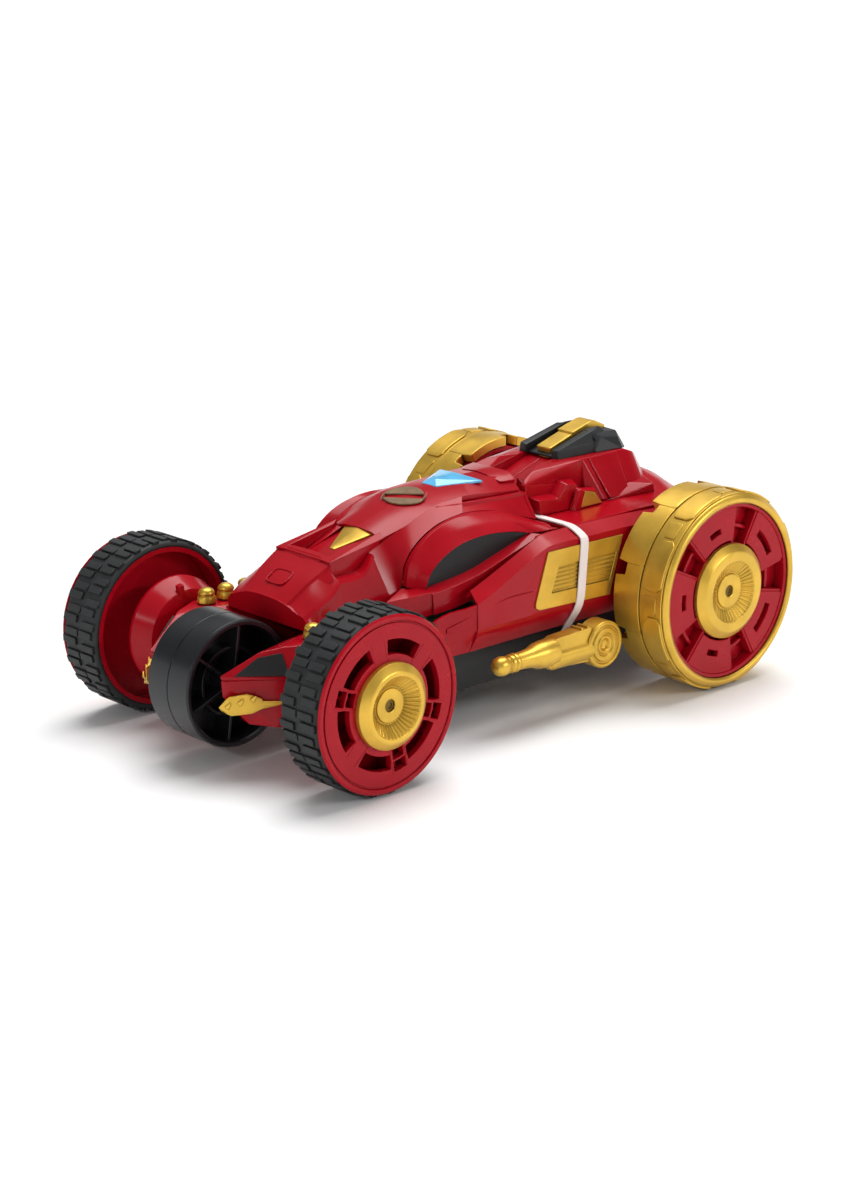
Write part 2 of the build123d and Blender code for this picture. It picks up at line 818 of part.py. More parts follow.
claw_profile = [(4.0, 33.5), (7.5, 39.5), (17.0, 40.0), (27.0, 37.5), (27.0, 36.0), (16.0, 31.5), (8.0, 29.5)]
with BuildPart() as fork_claws:
    with BuildSketch(outer_arm_face):
        with BuildLine():
            Polyline(*claw_profile, close=True)
        make_face()
    extrude(amount=4.5, taper=18)
    mirror(about=Plane.YZ)
save(fork_claws.part, "fork_claws")

stud_x = 36.0
stud_r = 4.2
with BuildPart() as stud_caps:
    for side in (1, -1):
        for along in (3.0, 14.0, 25.5):
            spot = Plane((side * stud_x, front_y + along, 56.5))
            with BuildSketch(spot):
                Circle(stud_r)
            extrude(amount=3.6)
            with BuildSketch(spot.offset(3.6)):
                Circle(stud_r - 1.0)
            extrude(amount=3.2, taper=12)
save(stud_caps.part, "stud_caps")

hub_low = arm_outer + seam
hub_high = 56.5
hub_nose = front_wheel_inner - 1.5
hub_profile = [
    (hub_low, front_axle_r + running),
    (hub_low, hub_r - 2),
    (hub_high, hub_r),
    (hub_high, hub_r - 2.2),
    (hub_high - 5, hub_r - 6),
    (hub_high - 5, 7.0),
    (hub_nose, 6.0),
    (hub_nose, front_axle_r + running),
]
with BuildPart() as front_hubs:
    add(turned(hub_profile, front_y, front_wheel_r))
    mirror(about=Plane.YZ)
save(front_hubs.part, "front_hubs")

roller_axle_end = roller_bore_end - 0.5
save(rod(roller_axle_r, -roller_axle_end, roller_axle_end, roller_y, roller_z), "roller_axle")

roller_spokes = 6
roller_half = roller_width / 2
with BuildPart() as stunt_roller:
    add(turned([
        (-roller_half, roller_r - 3.0),
        (-roller_half, roller_r - 0.8),
        (-roller_half + 0.8, roller_r),
        (-0.3, roller_r),
        (-0.3, roller_r - 0.4),
        (0.3, roller_r - 0.4),
        (0.3, roller_r),
        (roller_half - 0.8, roller_r),
        (roller_half, roller_r - 0.8),
        (roller_half, roller_r - 3.0),
    ], roller_y, roller_z))
    add(turned([
        (-1.25, roller_axle_r + running),
        (-1.25, roller_r - 2.5),
        (1.25, roller_r - 2.5),
        (1.25, roller_axle_r + running),
    ], roller_y, roller_z))
    add(turned([
        (-roller_half, roller_axle_r + running),
        (-roller_half, 6.0),
        (roller_half, 6.0),
        (roller_half, roller_axle_r + running),
    ], roller_y, roller_z))
    for spoke in range(roller_spokes):
        add(ring_sector(5.5, roller_r - 2.5, 30 + 60 * spoke, 3.0, -roller_half + 4, roller_half - 4,
                        roller_y, roller_z))
save(stunt_roller.part, "stunt_roller")


# ---- Front wheels --------------------------------------------------------------------------------
tread_rows = 24
tread_depth = 1.3
tyre_high = front_wheel_outer - 1.3
with BuildPart() as front_tyre:
    add(turned([
        (front_wheel_inner, rim_seat_r),
        (front_wheel_inner, front_wheel_r - 2.0),
        (front_wheel_inner + 1.5, front_wheel_r - tread_depth),
        (tyre_high - 1.5, front_wheel_r - tread_depth),
        (tyre_high, front_wheel_r - 2.0),
        (tyre_high, rim_seat_r),
    ], front_y, front_wheel_r))
    # Two rows of raised bars, half a step apart.
    for row in range(tread_rows):
        step = 360 / tread_rows
        middle_x = (front_wheel_inner + tyre_high) / 2
        inner_row = (front_wheel_inner + 1.5, middle_x - 0.8, step * row)
        outer_row = (middle_x + 0.8, tyre_high - 1.5, step * (row + 0.5))
        for start, end, turn in (inner_row, outer_row):
            add(ring_sector(front_wheel_r - tread_depth - 0.5, front_wheel_r, turn, 0.62 * step, start, end,
                            front_y, front_wheel_r))
save_pair(front_tyre.part, "front_tyre")

cap_r = 18.8
cap_bore_r = 3.2
front_face = front_wheel_outer - 1.0  # seat of the cap on the rim
slot_inner = 21.8
slot_outer = 28.8
rim_hub_r = 7.0
slot_first = 12.0
with BuildPart() as front_rim:
    add(turned([
        (front_wheel_inner, rim_seat_r - 2.2),
        (front_wheel_inner, rim_seat_r),
        (tyre_high, rim_seat_r),
        (tyre_high, front_wheel_r - 1.5),
        (front_wheel_outer, front_wheel_r - 2.3),
        (front_wheel_outer, 34.8),
        (front_wheel_outer - 0.8, 34.2),
        (front_wheel_outer - 0.8, cap_r + fit_gap),
        (front_face, cap_r + fit_gap),
        (front_face, cap_r - 2),
        (front_wheel_outer - 3.4, cap_r - 2),
        (front_wheel_outer - 3.4, rim_seat_r - 2.2),
    ], front_y, front_wheel_r))
    add(turned([
        (front_wheel_inner, front_axle_r),
        (front_wheel_inner, rim_hub_r),
        (front_wheel_outer - 3.4, rim_hub_r),
        (front_wheel_outer - 3.4, cap_r),
        (front_face, cap_r),
        (front_face, front_axle_r),
    ], front_y, front_wheel_r))
    for slot in range(6):
        add(ring_sector(slot_inner, slot_outer, slot_first + 60 * slot, 42, front_wheel_outer - 5,
                        front_wheel_outer + 1, front_y, front_wheel_r), mode=Mode.SUBTRACT)
    # Stiffening webs behind the face.
    for web in range(6):
        add(ring_sector(rim_hub_r - 0.5, rim_seat_r - 1, slot_first + 30 + 60 * web, 3.0,
                        front_wheel_outer - 14, front_wheel_outer - 3, front_y, front_wheel_r))
save_pair(front_rim.part, "front_rim")


def hub_cap(face, r, collar, boss_r, y, z):
    """A dished cap: a collar and a sloping rim round a funnel with a flat boss in its middle."""
    return turned([
        (face, cap_bore_r),
        (face, r),
        (face + collar, r),
        (face + collar + 2.6, r - 2.8),
        (face + collar + 2.9, r - 4.4),
        (face + 1.0, boss_r + 0.8),
        (face + 1.0, boss_r),
        (face + 1.5, boss_r),
        (face + 1.5, cap_bore_r),
    ], y, z)


def hub_screw(face, shank, y, z):
    """A pan-head screw that goes into the end of an axle."""
    return turned([
        (face - 7.0, 0),
        (face - 7.0, shank),
        (face, shank),
        (face, 2.9),
        (face + 0.6, 2.9),
        (face + 0.9, 1.4),
        (face + 0.4, 1.2),
        (face + 0.4, 0),
    ], y, z)


save_pair(hub_cap(front_face, cap_r, 3.0, 7.4, front_y, front_wheel_r), "front_cap")
save_pair(hub_screw(front_face, 1.2, front_y, front_wheel_r), "front_hub_screw")
with BuildPart() as front_axle:
    add(rod(front_axle_r, arm_outer - 12, front_face, front_y, front_wheel_r))
    add(rod(1.2, front_face - 7.0, front_face + 1, front_y, front_wheel_r), mode=Mode.SUBTRACT)
save_pair(front_axle.part, "front_axle")

# ---- Rear drum wheels ----------------------------------------------------------------------------
notches = 10
notch_depth = 5.5
plates = 8
with BuildPart() as rear_drum:
    add(turned([
        (drum_inner, drum_seat_r),
        (drum_inner, drum_r - 1.0),
        (drum_inner + 0.8, drum_r - 0.6),
        (drum_inner + 14.6, drum_r - 0.6),
        (drum_inner + 15.0, drum_r - 1.0),
        (drum_inner + 15.4, drum_r - 0.6),
        (drum_outer - 1.4, drum_r - 0.6),
        (drum_outer, drum_r - 2.0),
        (drum_outer, drum_seat_r + 0.6),
        (drum_outer - 1.5, drum_seat_r),
    ], rear_y, drum_r))
    for plate in range(plates):
        step = 360 / plates
        add(ring_sector(drum_r - 1.0, drum_r, step * plate, 0.6 * step, drum_inner + 16.5, drum_outer - 2.0,
                        rear_y, drum_r))
        add(ring_sector(drum_r - 1.0, drum_r, step * (plate + 0.5), 0.6 * step, drum_inner + 7.0,
                        drum_inner + 14.0, rear_y, drum_r))
    for notch in range(notches):
        add(ring_sector(drum_seat_r - 1, drum_r + 1, 360 / notches * (notch + 0.5), 9.0, drum_inner - 1,
                        drum_inner + notch_depth, rear_y, drum_r), mode=Mode.SUBTRACT)
save_pair(rear_drum.part, "rear_drum")

disc_back = drum_outer - 8.0
disc_face = drum_outer - 2.6
rear_cap_r = 22.4
rear_hub_r = 8.0
with BuildPart() as rear_rim:
    add(turned([
        (drum_inner + 0.8, drum_seat_r - 2.0),
        (drum_inner + 0.8, drum_seat_r),
        (drum_outer - 1.8, drum_seat_r),
        (drum_outer - 1.8, drum_seat_r - 1.5),
        (disc_face - 2.0, drum_seat_r - 2.5),
        (disc_face - 2.0, rear_axle_r),
        (drum_inner + 0.8, rear_axle_r),
        (drum_inner + 0.8, rear_hub_r),
        (disc_back, rear_hub_r),
        (disc_back, drum_seat_r - 2.0),
    ], rear_y, drum_r))
    # Raised sector plates on the face, with a pocket between neighbours.
    for plate in range(5):
        middle = 36 + 72 * plate
        add(ring_sector(24.0, drum_seat_r - 2.0, middle, 50, disc_face - 2.5, disc_face, rear_y, drum_r))
        add(ring_sector(28.0, 32.5, middle, 30, disc_face - 1.5, disc_face + 1, rear_y, drum_r),
            mode=Mode.SUBTRACT)
    add(turned([
        (disc_face - 2.5, rear_axle_r),
        (disc_face - 2.5, rear_cap_r + 1),
        (disc_face, rear_cap_r + 1),
        (disc_face, rear_axle_r),
    ], rear_y, drum_r))
    for web in range(5):
        add(ring_sector(rear_hub_r - 0.5, drum_seat_r - 1, 72 * web, 3.0, disc_back - 10, disc_back + 1,
                        rear_y, drum_r))
save_pair(rear_rim.part, "rear_rim")

rear_face = disc_face
save_pair(hub_cap(rear_face, rear_cap_r, 1.2, 8.1, rear_y, drum_r), "rear_cap")
save_pair(hub_screw(rear_face, 1.4, rear_y, drum_r), "rear_hub_screw")

# ---- Drive: motor, pinion and gear on each side --------------------------------------------------
gear_hub = 1.2  # hub standing out beyond the gear
case_high = chassis_half - wall - seam
gear_low = case_high - wall - 0.5 - gear_hub - gear_width
case_low = gear_low - 2.0 - wall
case_front = motor_y - motor_r - 1.5
case_rear = rear_y + 20.5
case_floor = floor_z + wall
case_top = drum_r + 21.0
boss_end = drum_inner - 0.8
with BuildPart() as rear_axle:
    add(rod(rear_axle_r, case_low + 0.8, rear_face, rear_y, drum_r))
    add(rod(1.4, rear_face - 7.0, rear_face + 1, rear_y, drum_r), mode=Mode.SUBTRACT)
save_pair(rear_axle.part, "rear_axle")

with BuildPart() as wheel_gear:
    add(gear(wheel_teeth, gear_low, gear_low + gear_width, rear_y, drum_r, 180.0))
    add(rod(6.0, gear_low - 1.0, gear_low + gear_width + gear_hub, rear_y, drum_r))
    add(rod(rear_axle_r, case_low, case_high + 2, rear_y, drum_r), mode=Mode.SUBTRACT)
save_pair(wheel_gear.part, "wheel_gear")

shaft_r = 1.0
with BuildPart() as motor_pinion:
    add(gear(pinion_teeth, gear_low - 1, gear_low + gear_width + 1, motor_y, drum_r, 180.0 / pinion_teeth))
    add(rod(shaft_r, case_low - motor_length + 3, gear_low + gear_width + 1.4, motor_y, drum_r))
save_pair(motor_pinion.part, "motor_pinion")

with BuildPart() as gear_cases:
    case_outline = [
        (case_front, case_floor),
        (case_front, drum_r + motor_r + 2),
        (rear_y - 12, case_top),
        (rear_y + 12, case_top),
        (case_rear, drum_r + 12),
        (case_rear, case_floor),
    ]
    with BuildSketch(Plane.YZ.offset(case_low)):
        with BuildLine():
            Polyline(*case_outline, close=True)
        make_face()
    extrude(amount=case_high - case_low)
    with BuildSketch(Plane.YZ.offset(case_low + wall)):
        with BuildLine():
            Polyline(*case_outline, close=True)
        make_face()
        offset(amount=-wall, kind=Kind.INTERSECTION, mode=Mode.REPLACE)
    extrude(amount=case_high - case_low - 2 * wall, mode=Mode.SUBTRACT)
    add(rod(5.5, case_high - wall, boss_end, rear_y, drum_r))
    add(rod(rear_axle_r + running, case_low - 1, boss_end + 1, rear_y, drum_r), mode=Mode.SUBTRACT)
    add(rod(3.0, case_low - 1, case_low + wall + 1, motor_y, drum_r), mode=Mode.SUBTRACT)
    mirror(about=Plane.YZ)
save(gear_cases.part, "gear_cases")

with BuildPart() as drive_motors:
    add(rod(motor_r, case_low - motor_length, case_low, motor_y, drum_r))
    add(rod(shaft_r + running, case_low - motor_length + 2.5, case_low + 1, motor_y, drum_r),
        mode=Mode.SUBTRACT)
    with BuildSketch(Plane((case_low - motor_length / 2, motor_y + motor_r, drum_r))):
        Rectangle(big, 2 * 2.0)
    extrude(amount=big, both=True, mode=Mode.SUBTRACT)
    with BuildSketch(Plane((case_low - motor_length / 2, motor_y - motor_r, drum_r))):
        Rectangle(big, 2 * 2.0)
    extrude(amount=big, both=True, mode=Mode.SUBTRACT)
    mirror(about=Plane.YZ)
save(drive_motors.part, "drive_motors")

# ---- Side cannons on friction pins ---------------------------------------------------------------
drum_radius = 11.0
pin_r = 2.2
cannon_mid = cannon_inner + cannon_thick / 2
tip_y = cannon_y - 66.0
with BuildPart() as cannon:
    add(rod(drum_radius, cannon_inner, cannon_inner + cannon_thick, cannon_y, cannon_pivot_z))
    slab = [
        (cannon_y, cannon_pivot_z + drum_radius),
        (cannon_y, cannon_pivot_z - 6.5),
        (tip_y + 20, cannon_pivot_z - 4.0),
        (tip_y + 20, cannon_pivot_z + 6.0),
        (cannon_y - 30, cannon_pivot_z + 9.5),
    ]
    add(side_prism(slab, cannon_inner + 1, cannon_inner + cannon_thick - 1))
    add(rod(pin_r + running, cannon_inner - 1, cannon_inner + cannon_thick - 3.0, cannon_y, cannon_pivot_z),
        mode=Mode.SUBTRACT)
    drum_face = cannon_inner + cannon_thick
    add(rod(3.4, drum_face - 1.5, drum_face + 1, cannon_y, cannon_pivot_z), mode=Mode.SUBTRACT)
    # Barrel: a neck with two collars and a ball at its end.
    barrel = Plane(origin=(cannon_mid, tip_y + 20.5, cannon_pivot_z + 2.5), x_dir=(1, 0, 0), z_dir=(0, -1, 0))
    rings = [(0, 4, 4.2), (4, 3, 2.9), (7, 2, 3.9), (9, 1.5, 3.0), (10.5, 2, 3.9), (12.5, 3, 2.8)]
    for start, length, r in rings:
        with BuildSketch(barrel.offset(start)):
            Circle(r)
        extrude(amount=length)
    with Locations((cannon_mid, tip_y + 3.6, cannon_pivot_z + 2.5)):
        Sphere(3.9)
save_pair(cannon.part, "cannon")

with BuildPart() as cannon_pins:
    pin_low = chassis_half - wall - 5
    pin_high = cannon_inner + cannon_thick - 3.3
    add(rod(pin_r, pin_low, pin_high, cannon_y, cannon_pivot_z))
    add(rod(pin_r + 0.8, chassis_half, cannon_inner - seam, cannon_y, cannon_pivot_z))
    mirror(about=Plane.YZ)
save(cannon_pins.part, "cannon_pins")

# ---- Elastic band that holds the shells shut -----------------------------------------------------
band_thick = 0.8
band_width = 5.0
band_gap = 0.2
band_tilt = 4.6
band_path = [
    (chassis_half + band_gap, floor_z - band_gap),
    (50.3, skirt_z - 1.0),
    (pod_half + grille_proud + band_gap, 47.6),
    (pod_half + grille_proud + band_gap, deck_z - shoulder_drop + 0.4),
    (49.0, deck_z + band_gap),
]
band_plane = Plane(origin=(0, cannon_y - 6.4, cannon_pivot_z), x_dir=(1, 0, 0),
                   z_dir=(0, -cos(radians(band_tilt)), sin(radians(band_tilt))))
with BuildPart() as elastic_band:
    with BuildSketch(band_plane):
        local = [(x, (z - cannon_pivot_z) / cos(radians(band_tilt))) for x, z in band_path]
        with BuildLine():
            Polyline(*both_sides(local), close=True)
        make_face()
        offset(amount=band_thick, kind=Kind.INTERSECTION, mode=Mode.REPLACE)
        with BuildLine():
            Polyline(*both_sides(local), close=True)
        make_face(mode=Mode.SUBTRACT)
    extrude(amount=band_width / 2, both=True)
save(elastic_band.part, "elastic_band")
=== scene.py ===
"""Looks of the stunt car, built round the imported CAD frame.

Front is -Y, the car's left side is +X, up is +Z. Shapes are worked out in millimetres, in a car frame whose
origin is under the front axle: x from the middle, s back from the front axle, z above the ground.
"""

import json
from math import cos, degrees, pi, radians, sin, tan

import bmesh
import bpy
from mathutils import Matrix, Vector


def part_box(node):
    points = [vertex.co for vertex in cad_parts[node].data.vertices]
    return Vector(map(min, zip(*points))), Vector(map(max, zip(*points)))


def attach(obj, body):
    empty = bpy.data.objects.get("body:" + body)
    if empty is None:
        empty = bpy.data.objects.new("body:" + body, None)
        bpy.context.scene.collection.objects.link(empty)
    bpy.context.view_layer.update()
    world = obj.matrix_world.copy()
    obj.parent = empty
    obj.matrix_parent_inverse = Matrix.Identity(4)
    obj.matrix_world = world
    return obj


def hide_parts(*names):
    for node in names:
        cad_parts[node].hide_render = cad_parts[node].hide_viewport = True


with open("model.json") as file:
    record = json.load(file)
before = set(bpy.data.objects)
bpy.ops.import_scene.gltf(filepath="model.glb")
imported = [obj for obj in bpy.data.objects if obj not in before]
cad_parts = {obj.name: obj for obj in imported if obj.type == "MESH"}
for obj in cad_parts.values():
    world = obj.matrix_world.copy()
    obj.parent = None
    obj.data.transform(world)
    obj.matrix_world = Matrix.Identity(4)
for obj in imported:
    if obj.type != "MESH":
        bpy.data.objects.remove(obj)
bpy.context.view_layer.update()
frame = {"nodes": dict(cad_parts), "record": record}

MM = 0.001
merge_gap = 1e-4


def centre_of(node):
    low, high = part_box(node)
    return (low + high) / 2 / MM


def size_of(node):
    low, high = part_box(node)
    return (high - low) / MM


# ---- Places read from the frame, mm ----
front_y = centre_of("front_tyre_left").y
front_r = size_of("front_tyre_left").z / 2
rear_s = centre_of("rear_drum_left").y - front_y
rear_r = size_of("rear_drum_left").z / 2
roller_s = centre_of("stunt_roller").y - front_y
roller_z = centre_of("stunt_roller").z
roller_r = size_of("stunt_roller").z / 2
tyre_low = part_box("front_tyre_left")[0].x / MM
tyre_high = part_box("front_tyre_left")[1].x / MM
rim_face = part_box("front_rim_left")[1].x / MM
drum_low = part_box("rear_drum_left")[0].x / MM
drum_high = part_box("rear_drum_left")[1].x / MM
cannon_s = centre_of("cannon_pins").y - front_y
cannon_z = centre_of("cannon_pins").z


# ---- Materials ----
def node(tree, kind, **settings):
    """A new shader node with some inputs set; an underscore stands for a space in their names."""
    made = tree.nodes.new("ShaderNode" + kind)
    for socket, value in settings.items():
        made.inputs[socket.replace("_", " ")].default_value = value
    return made


def finish_of(name, colour, roughness, metallic=0, coat=0, mottle=0.12, mottle_scale=60, grain=900, bump=0.05,
        recess=0, specular=0.5):
    """A moulded or painted surface: cloudy colour, uneven gloss, fine grain, painted shade darkening its
    recesses.
    """
    gloss_spread = 0.08
    material = bpy.data.materials.new(name)
    material.use_nodes = True
    tree = material.node_tree
    link = tree.links.new
    shader = tree.nodes["Principled BSDF"]
    shader.inputs["Metallic"].default_value = metallic
    shader.inputs["Coat Weight"].default_value = coat
    shader.inputs["Coat Roughness"].default_value = 0.08
    shader.inputs["Specular IOR Level"].default_value = specular
    place = node(tree, "TexCoord")

    clouds = node(tree, "TexNoise", Scale=mottle_scale, Detail=4)
    link(place.outputs["Object"], clouds.inputs["Vector"])
    tones = node(tree, "ValToRGB")
    dark, light = tones.color_ramp.elements
    dark.position = 0.3
    light.position = 0.7
    dark.color = [channel * (1 - mottle) for channel in colour] + [1]
    light.color = [min(1, channel * (1 + mottle)) for channel in colour] + [1]
    link(clouds.outputs["Fac"], tones.inputs["Fac"])
    base = tones.outputs["Color"]
    # painted shade: ambient occlusion darkens the base colour in hollows and creases, by the share given as
    # recess
    if recess:
        hollow = node(tree, "AmbientOcclusion", Distance=2.5 * MM)
        hollow.samples = 6
        occlusion_shade = node(tree, "MapRange", From_Min=0.25, From_Max=0.8, To_Min=1 - recess)
        link(hollow.outputs["AO"], occlusion_shade.inputs["Value"])
        shade = node(tree, "Mix")
        shade.data_type = "RGBA"
        shade.blend_type = "MULTIPLY"
        shade.inputs["Factor"].default_value = 1
        link(base, shade.inputs["A"])
        link(occlusion_shade.outputs["Result"], shade.inputs["B"])
        base = shade.outputs["Result"]
    link(base, shader.inputs["Base Color"])

    gloss = node(tree, "MapRange", To_Min=roughness - gloss_spread, To_Max=roughness + gloss_spread)
    link(clouds.outputs["Fac"], gloss.inputs["Value"])
    link(gloss.outputs["Result"], shader.inputs["Roughness"])

    fine = node(tree, "TexNoise", Scale=grain, Detail=3)
    link(place.outputs["Object"], fine.inputs["Vector"])
    relief = node(tree, "Bump", Strength=bump, Distance=0.2 * MM)
    link(fine.outputs["Fac"], relief.inputs["Height"])
    link(relief.outputs["Normal"], shader.inputs["Normal"])
    return material


# recess sets how much painted shade each material gets in its hollows
red = finish_of(
    "red_plastic", (0.36, 0.002, 0.009), 0.2, mottle=0.07, grain=260, bump=0.03, recess=0.4, specular=0.2)
wheel_red = finish_of(
    "wheel_red_plastic", (0.36, 0.002, 0.010), 0.26, mottle=0.07, grain=320, bump=0.04, recess=0.4,
    specular=0.18)
gold = finish_of(
    "gold_paint", (0.68, 0.42, 0.055), 0.34, metallic=0.7, mottle=0.12, mottle_scale=90, grain=1600,
    bump=0.12, recess=0.65)
rubber = finish_of(
    "tyre_rubber", (0.020, 0.021, 0.022), 0.6, mottle=0.25, grain=1400, bump=0.2, recess=0.5, specular=0.3)
roller_black = finish_of(
    "roller_plastic", (0.008, 0.009, 0.011), 0.3, mottle=0.15, grain=700, bump=0.06, specular=0.4)
black = finish_of(
    "black_plastic", (0.008, 0.009, 0.010), 0.46, mottle=0.2, grain=900, bump=0.12, specular=0.35)
window_grey = finish_of(
    "window_paint", (0.012, 0.012, 0.013), 0.55, mottle=0.2, grain=1800, bump=0.12, specular=0.3)
canopy_blue = finish_of(
    "canopy_paint", (0.10, 0.46, 0.78), 0.2, coat=0.4, mottle=0.12, mottle_scale=140, bump=0.04)
badge_brown = finish_of("badge_paint", (0.20, 0.12, 0.06), 0.42, metallic=0.3, mottle=0.25, mottle_scale=300)
band_white = finish_of("elastic", (0.80, 0.70, 0.68), 0.6, mottle=0.05, grain=1200, bump=0.1)
# hub screws: gold paint darkened to stand for the shade deep in their holes, partly own colour and partly
# painted shade
screw_shade_gold = finish_of("screw_with_painted_shade", (0.16, 0.10, 0.02), 0.45, metallic=0.8, grain=1500)
steel = finish_of("bright_steel", (0.5, 0.5, 0.5), 0.3, metallic=1, grain=1500)
motor_steel = finish_of("motor_can", (0.45, 0.45, 0.46), 0.4, metallic=1, grain=1500)
board_green = finish_of("board_lacquer", (0.02, 0.16, 0.06), 0.35, grain=600)
cell_wrap = finish_of("cell_wrap", (0.03, 0.10, 0.30), 0.35, grain=600)
nylon = finish_of("gear_nylon", (0.72, 0.70, 0.64), 0.45, grain=700)

looks = {"body_red": red, "wheel_red": wheel_red, "tyre_rubber": rubber, "drum_gold": gold, "cap_gold": gold,
    "cannon_gold": gold, "trim_gold": gold, "cap_black": black, "roller_black": roller_black,
    "chassis_black": black, "window_grey": window_grey, "canopy_blue": canopy_blue,
    "badge_brown": badge_brown, "band_white": band_white, "steel": steel, "motor_steel": motor_steel,
    "board_green": board_green, "cell_wrap": cell_wrap, "gear_nylon": nylon}


# ---- Mesh tools ----
def mesh_of(shape):
    """The mesh of a bmesh, which is freed."""
    mesh = bpy.data.meshes.new("piece")
    shape.to_mesh(mesh)
    shape.free()
    return mesh


def in_scene(name, data):
    """A new object with this data, linked into the scene."""
    made = bpy.data.objects.new(name, data)
    bpy.context.scene.collection.objects.link(made)
    return made


def mesh_from(points, faces):
    """A mesh in car millimetres with its normals outwards."""
    mesh = bpy.data.meshes.new("piece")
    mesh.from_pydata([tuple(point) for point in points], [], faces)
    shape = bmesh.new()
    shape.from_mesh(mesh)
    bmesh.ops.remove_doubles(shape, verts=shape.verts, dist=merge_gap)
    bmesh.ops.recalc_face_normals(shape, faces=shape.faces)
    shape.to_mesh(mesh)
    shape.free()
    return mesh


def moved(mesh, place):
    """The mesh with every point sent through a function."""
    for vertex in mesh.vertices:
        vertex.co = place(vertex.co)
    return mesh


def joined(*meshes):
    """Several meshes as one."""
    shape = bmesh.new()
    for mesh in meshes:
        shape.from_mesh(mesh)
    return mesh_of(shape)


def mirrored(mesh):
    """The same mesh on the other side of the car."""
    other = mesh.copy()
    for vertex in other.vertices:
        vertex.co.x = -vertex.co.x
    other.flip_normals()
    return other


def both(mesh):
    """The mesh and its mirror image as one."""
    return joined(mesh, mirrored(mesh))


def hull(*points):
    """The convex block with these corners."""
    shape = bmesh.new()
    for point in points:
        shape.verts.new(point)
    made = bmesh.ops.convex_hull(shape, input=shape.verts)
    loose = [
        item for item in made["geom_interior"] + made["geom_unused"] if isinstance(item, bmesh.types.BMVert)]
    bmesh.ops.delete(shape, geom=list(set(loose)), context="VERTS")
    bmesh.ops.dissolve_limit(shape, angle_limit=radians(2), verts=shape.verts, edges=shape.edges)
    bmesh.ops.recalc_face_normals(shape, faces=shape.faces)
    return mesh_of(shape)


def turned(outline, s, z, steps=96, wave=None):
    """A part turned about the line along X through (s, z). Its closed outline is (x, radius)."""
    points = []
    for step in range(steps):
        angle = 2 * pi * step / steps
        for index, (x, r) in enumerate(outline):
            if wave:
                x, r = wave(index, step, x, r)
            points.append((x, s + r * cos(angle), z + r * sin(angle)))
    count = len(outline)
    faces = []
    for step in range(steps):
        after = (step + 1) % steps
        for i in range(count):
            j = (i + 1) % count
            if outline[i][1] < 1e-6 and outline[j][1] < 1e-6:
                continue
            faces.append((step * count + i, step * count + j, after * count + j, after * count + i))
    return mesh_from(points, faces)


def arc(r, start, end, steps):
    """Points along an arc round the origin, angles in degrees."""
    turns = [radians(start + (end - start) * step / steps) for step in range(steps + 1)]
    return [(r * cos(turn), r * sin(turn)) for turn in turns]


def plate(loops, thick, edge):
    """A flat plate with rounded edges: the first loop is its outline (u, v), the others are holes.

    It stands on w = 0 and reaches w = thick.
    """
    curve = bpy.data.curves.new("outline", "CURVE")
    curve.dimensions = "2D"
    curve.fill_mode = "BOTH"
    curve.extrude = thick / 2 - edge
    curve.bevel_depth = edge
    curve.bevel_resolution = 1
    curve.offset = -edge
    for loop in loops:
        spline = curve.splines.new("POLY")
        spline.points.add(len(loop) - 1)
        spline.use_cyclic_u = True
        for point, (u, v) in zip(spline.points, loop):
            point.co = (u, v, 0, 1)
    holder = in_scene("outline", curve)
    bpy.context.view_layer.update()
    mesh = bpy.data.meshes.new_from_object(holder.evaluated_get(bpy.context.evaluated_depsgraph_get()))
    bpy.data.objects.remove(holder)
    bpy.data.curves.remove(curve)
    shape = bmesh.new()
    shape.from_mesh(mesh)
    bmesh.ops.remove_doubles(shape, verts=shape.verts, dist=merge_gap)
    for vertex in shape.verts:
        vertex.co.z += thick / 2
    shape.to_mesh(mesh)
    shape.free()
    return mesh


def sector(inner, outer, middle, width, parallel=False):
    """The outline of a slice of a ring, angles in degrees; parallel sides if asked."""
    steps = max(2, int(width / 5))
    half_in = width / 2
    if parallel:
        half_in = degrees(radians(width / 2) * outer / inner)
    return (
        arc(outer, middle - width / 2, middle + width / 2, steps)
        + arc(inner, middle + half_in, middle - half_in, steps))


def wheel_face(mesh, face, s, z):
    """A flat plate set in the plane x = face, round the axle at (s, z)."""
    return moved(mesh, lambda co: Vector((face + co.z, s + co.x, z + co.y)))


def wrapped(mesh, r, s, z, step=2):
    """A flat plate (u round the wheel in mm, v along X) bent round a wheel of radius r."""
    shape = bmesh.new()
    shape.from_mesh(mesh)
    low = min(vertex.co.x for vertex in shape.verts)
    high = max(vertex.co.x for vertex in shape.verts)
    cuts = int((high - low) / step)
    for cut in range(1, cuts):
        bmesh.ops.bisect_plane(
            shape, geom=shape.verts[:] + shape.edges[:] + shape.faces[:],
            plane_co=(low + (high - low) * cut / cuts, 0, 0), plane_no=(1, 0, 0))
    shape.to_mesh(mesh)
    shape.free()

    def bend(co):
        turn = co.x / r
        return Vector((co.y, s + (r + co.z) * cos(turn), z + (r + co.z) * sin(turn)))
    return moved(mesh, bend)


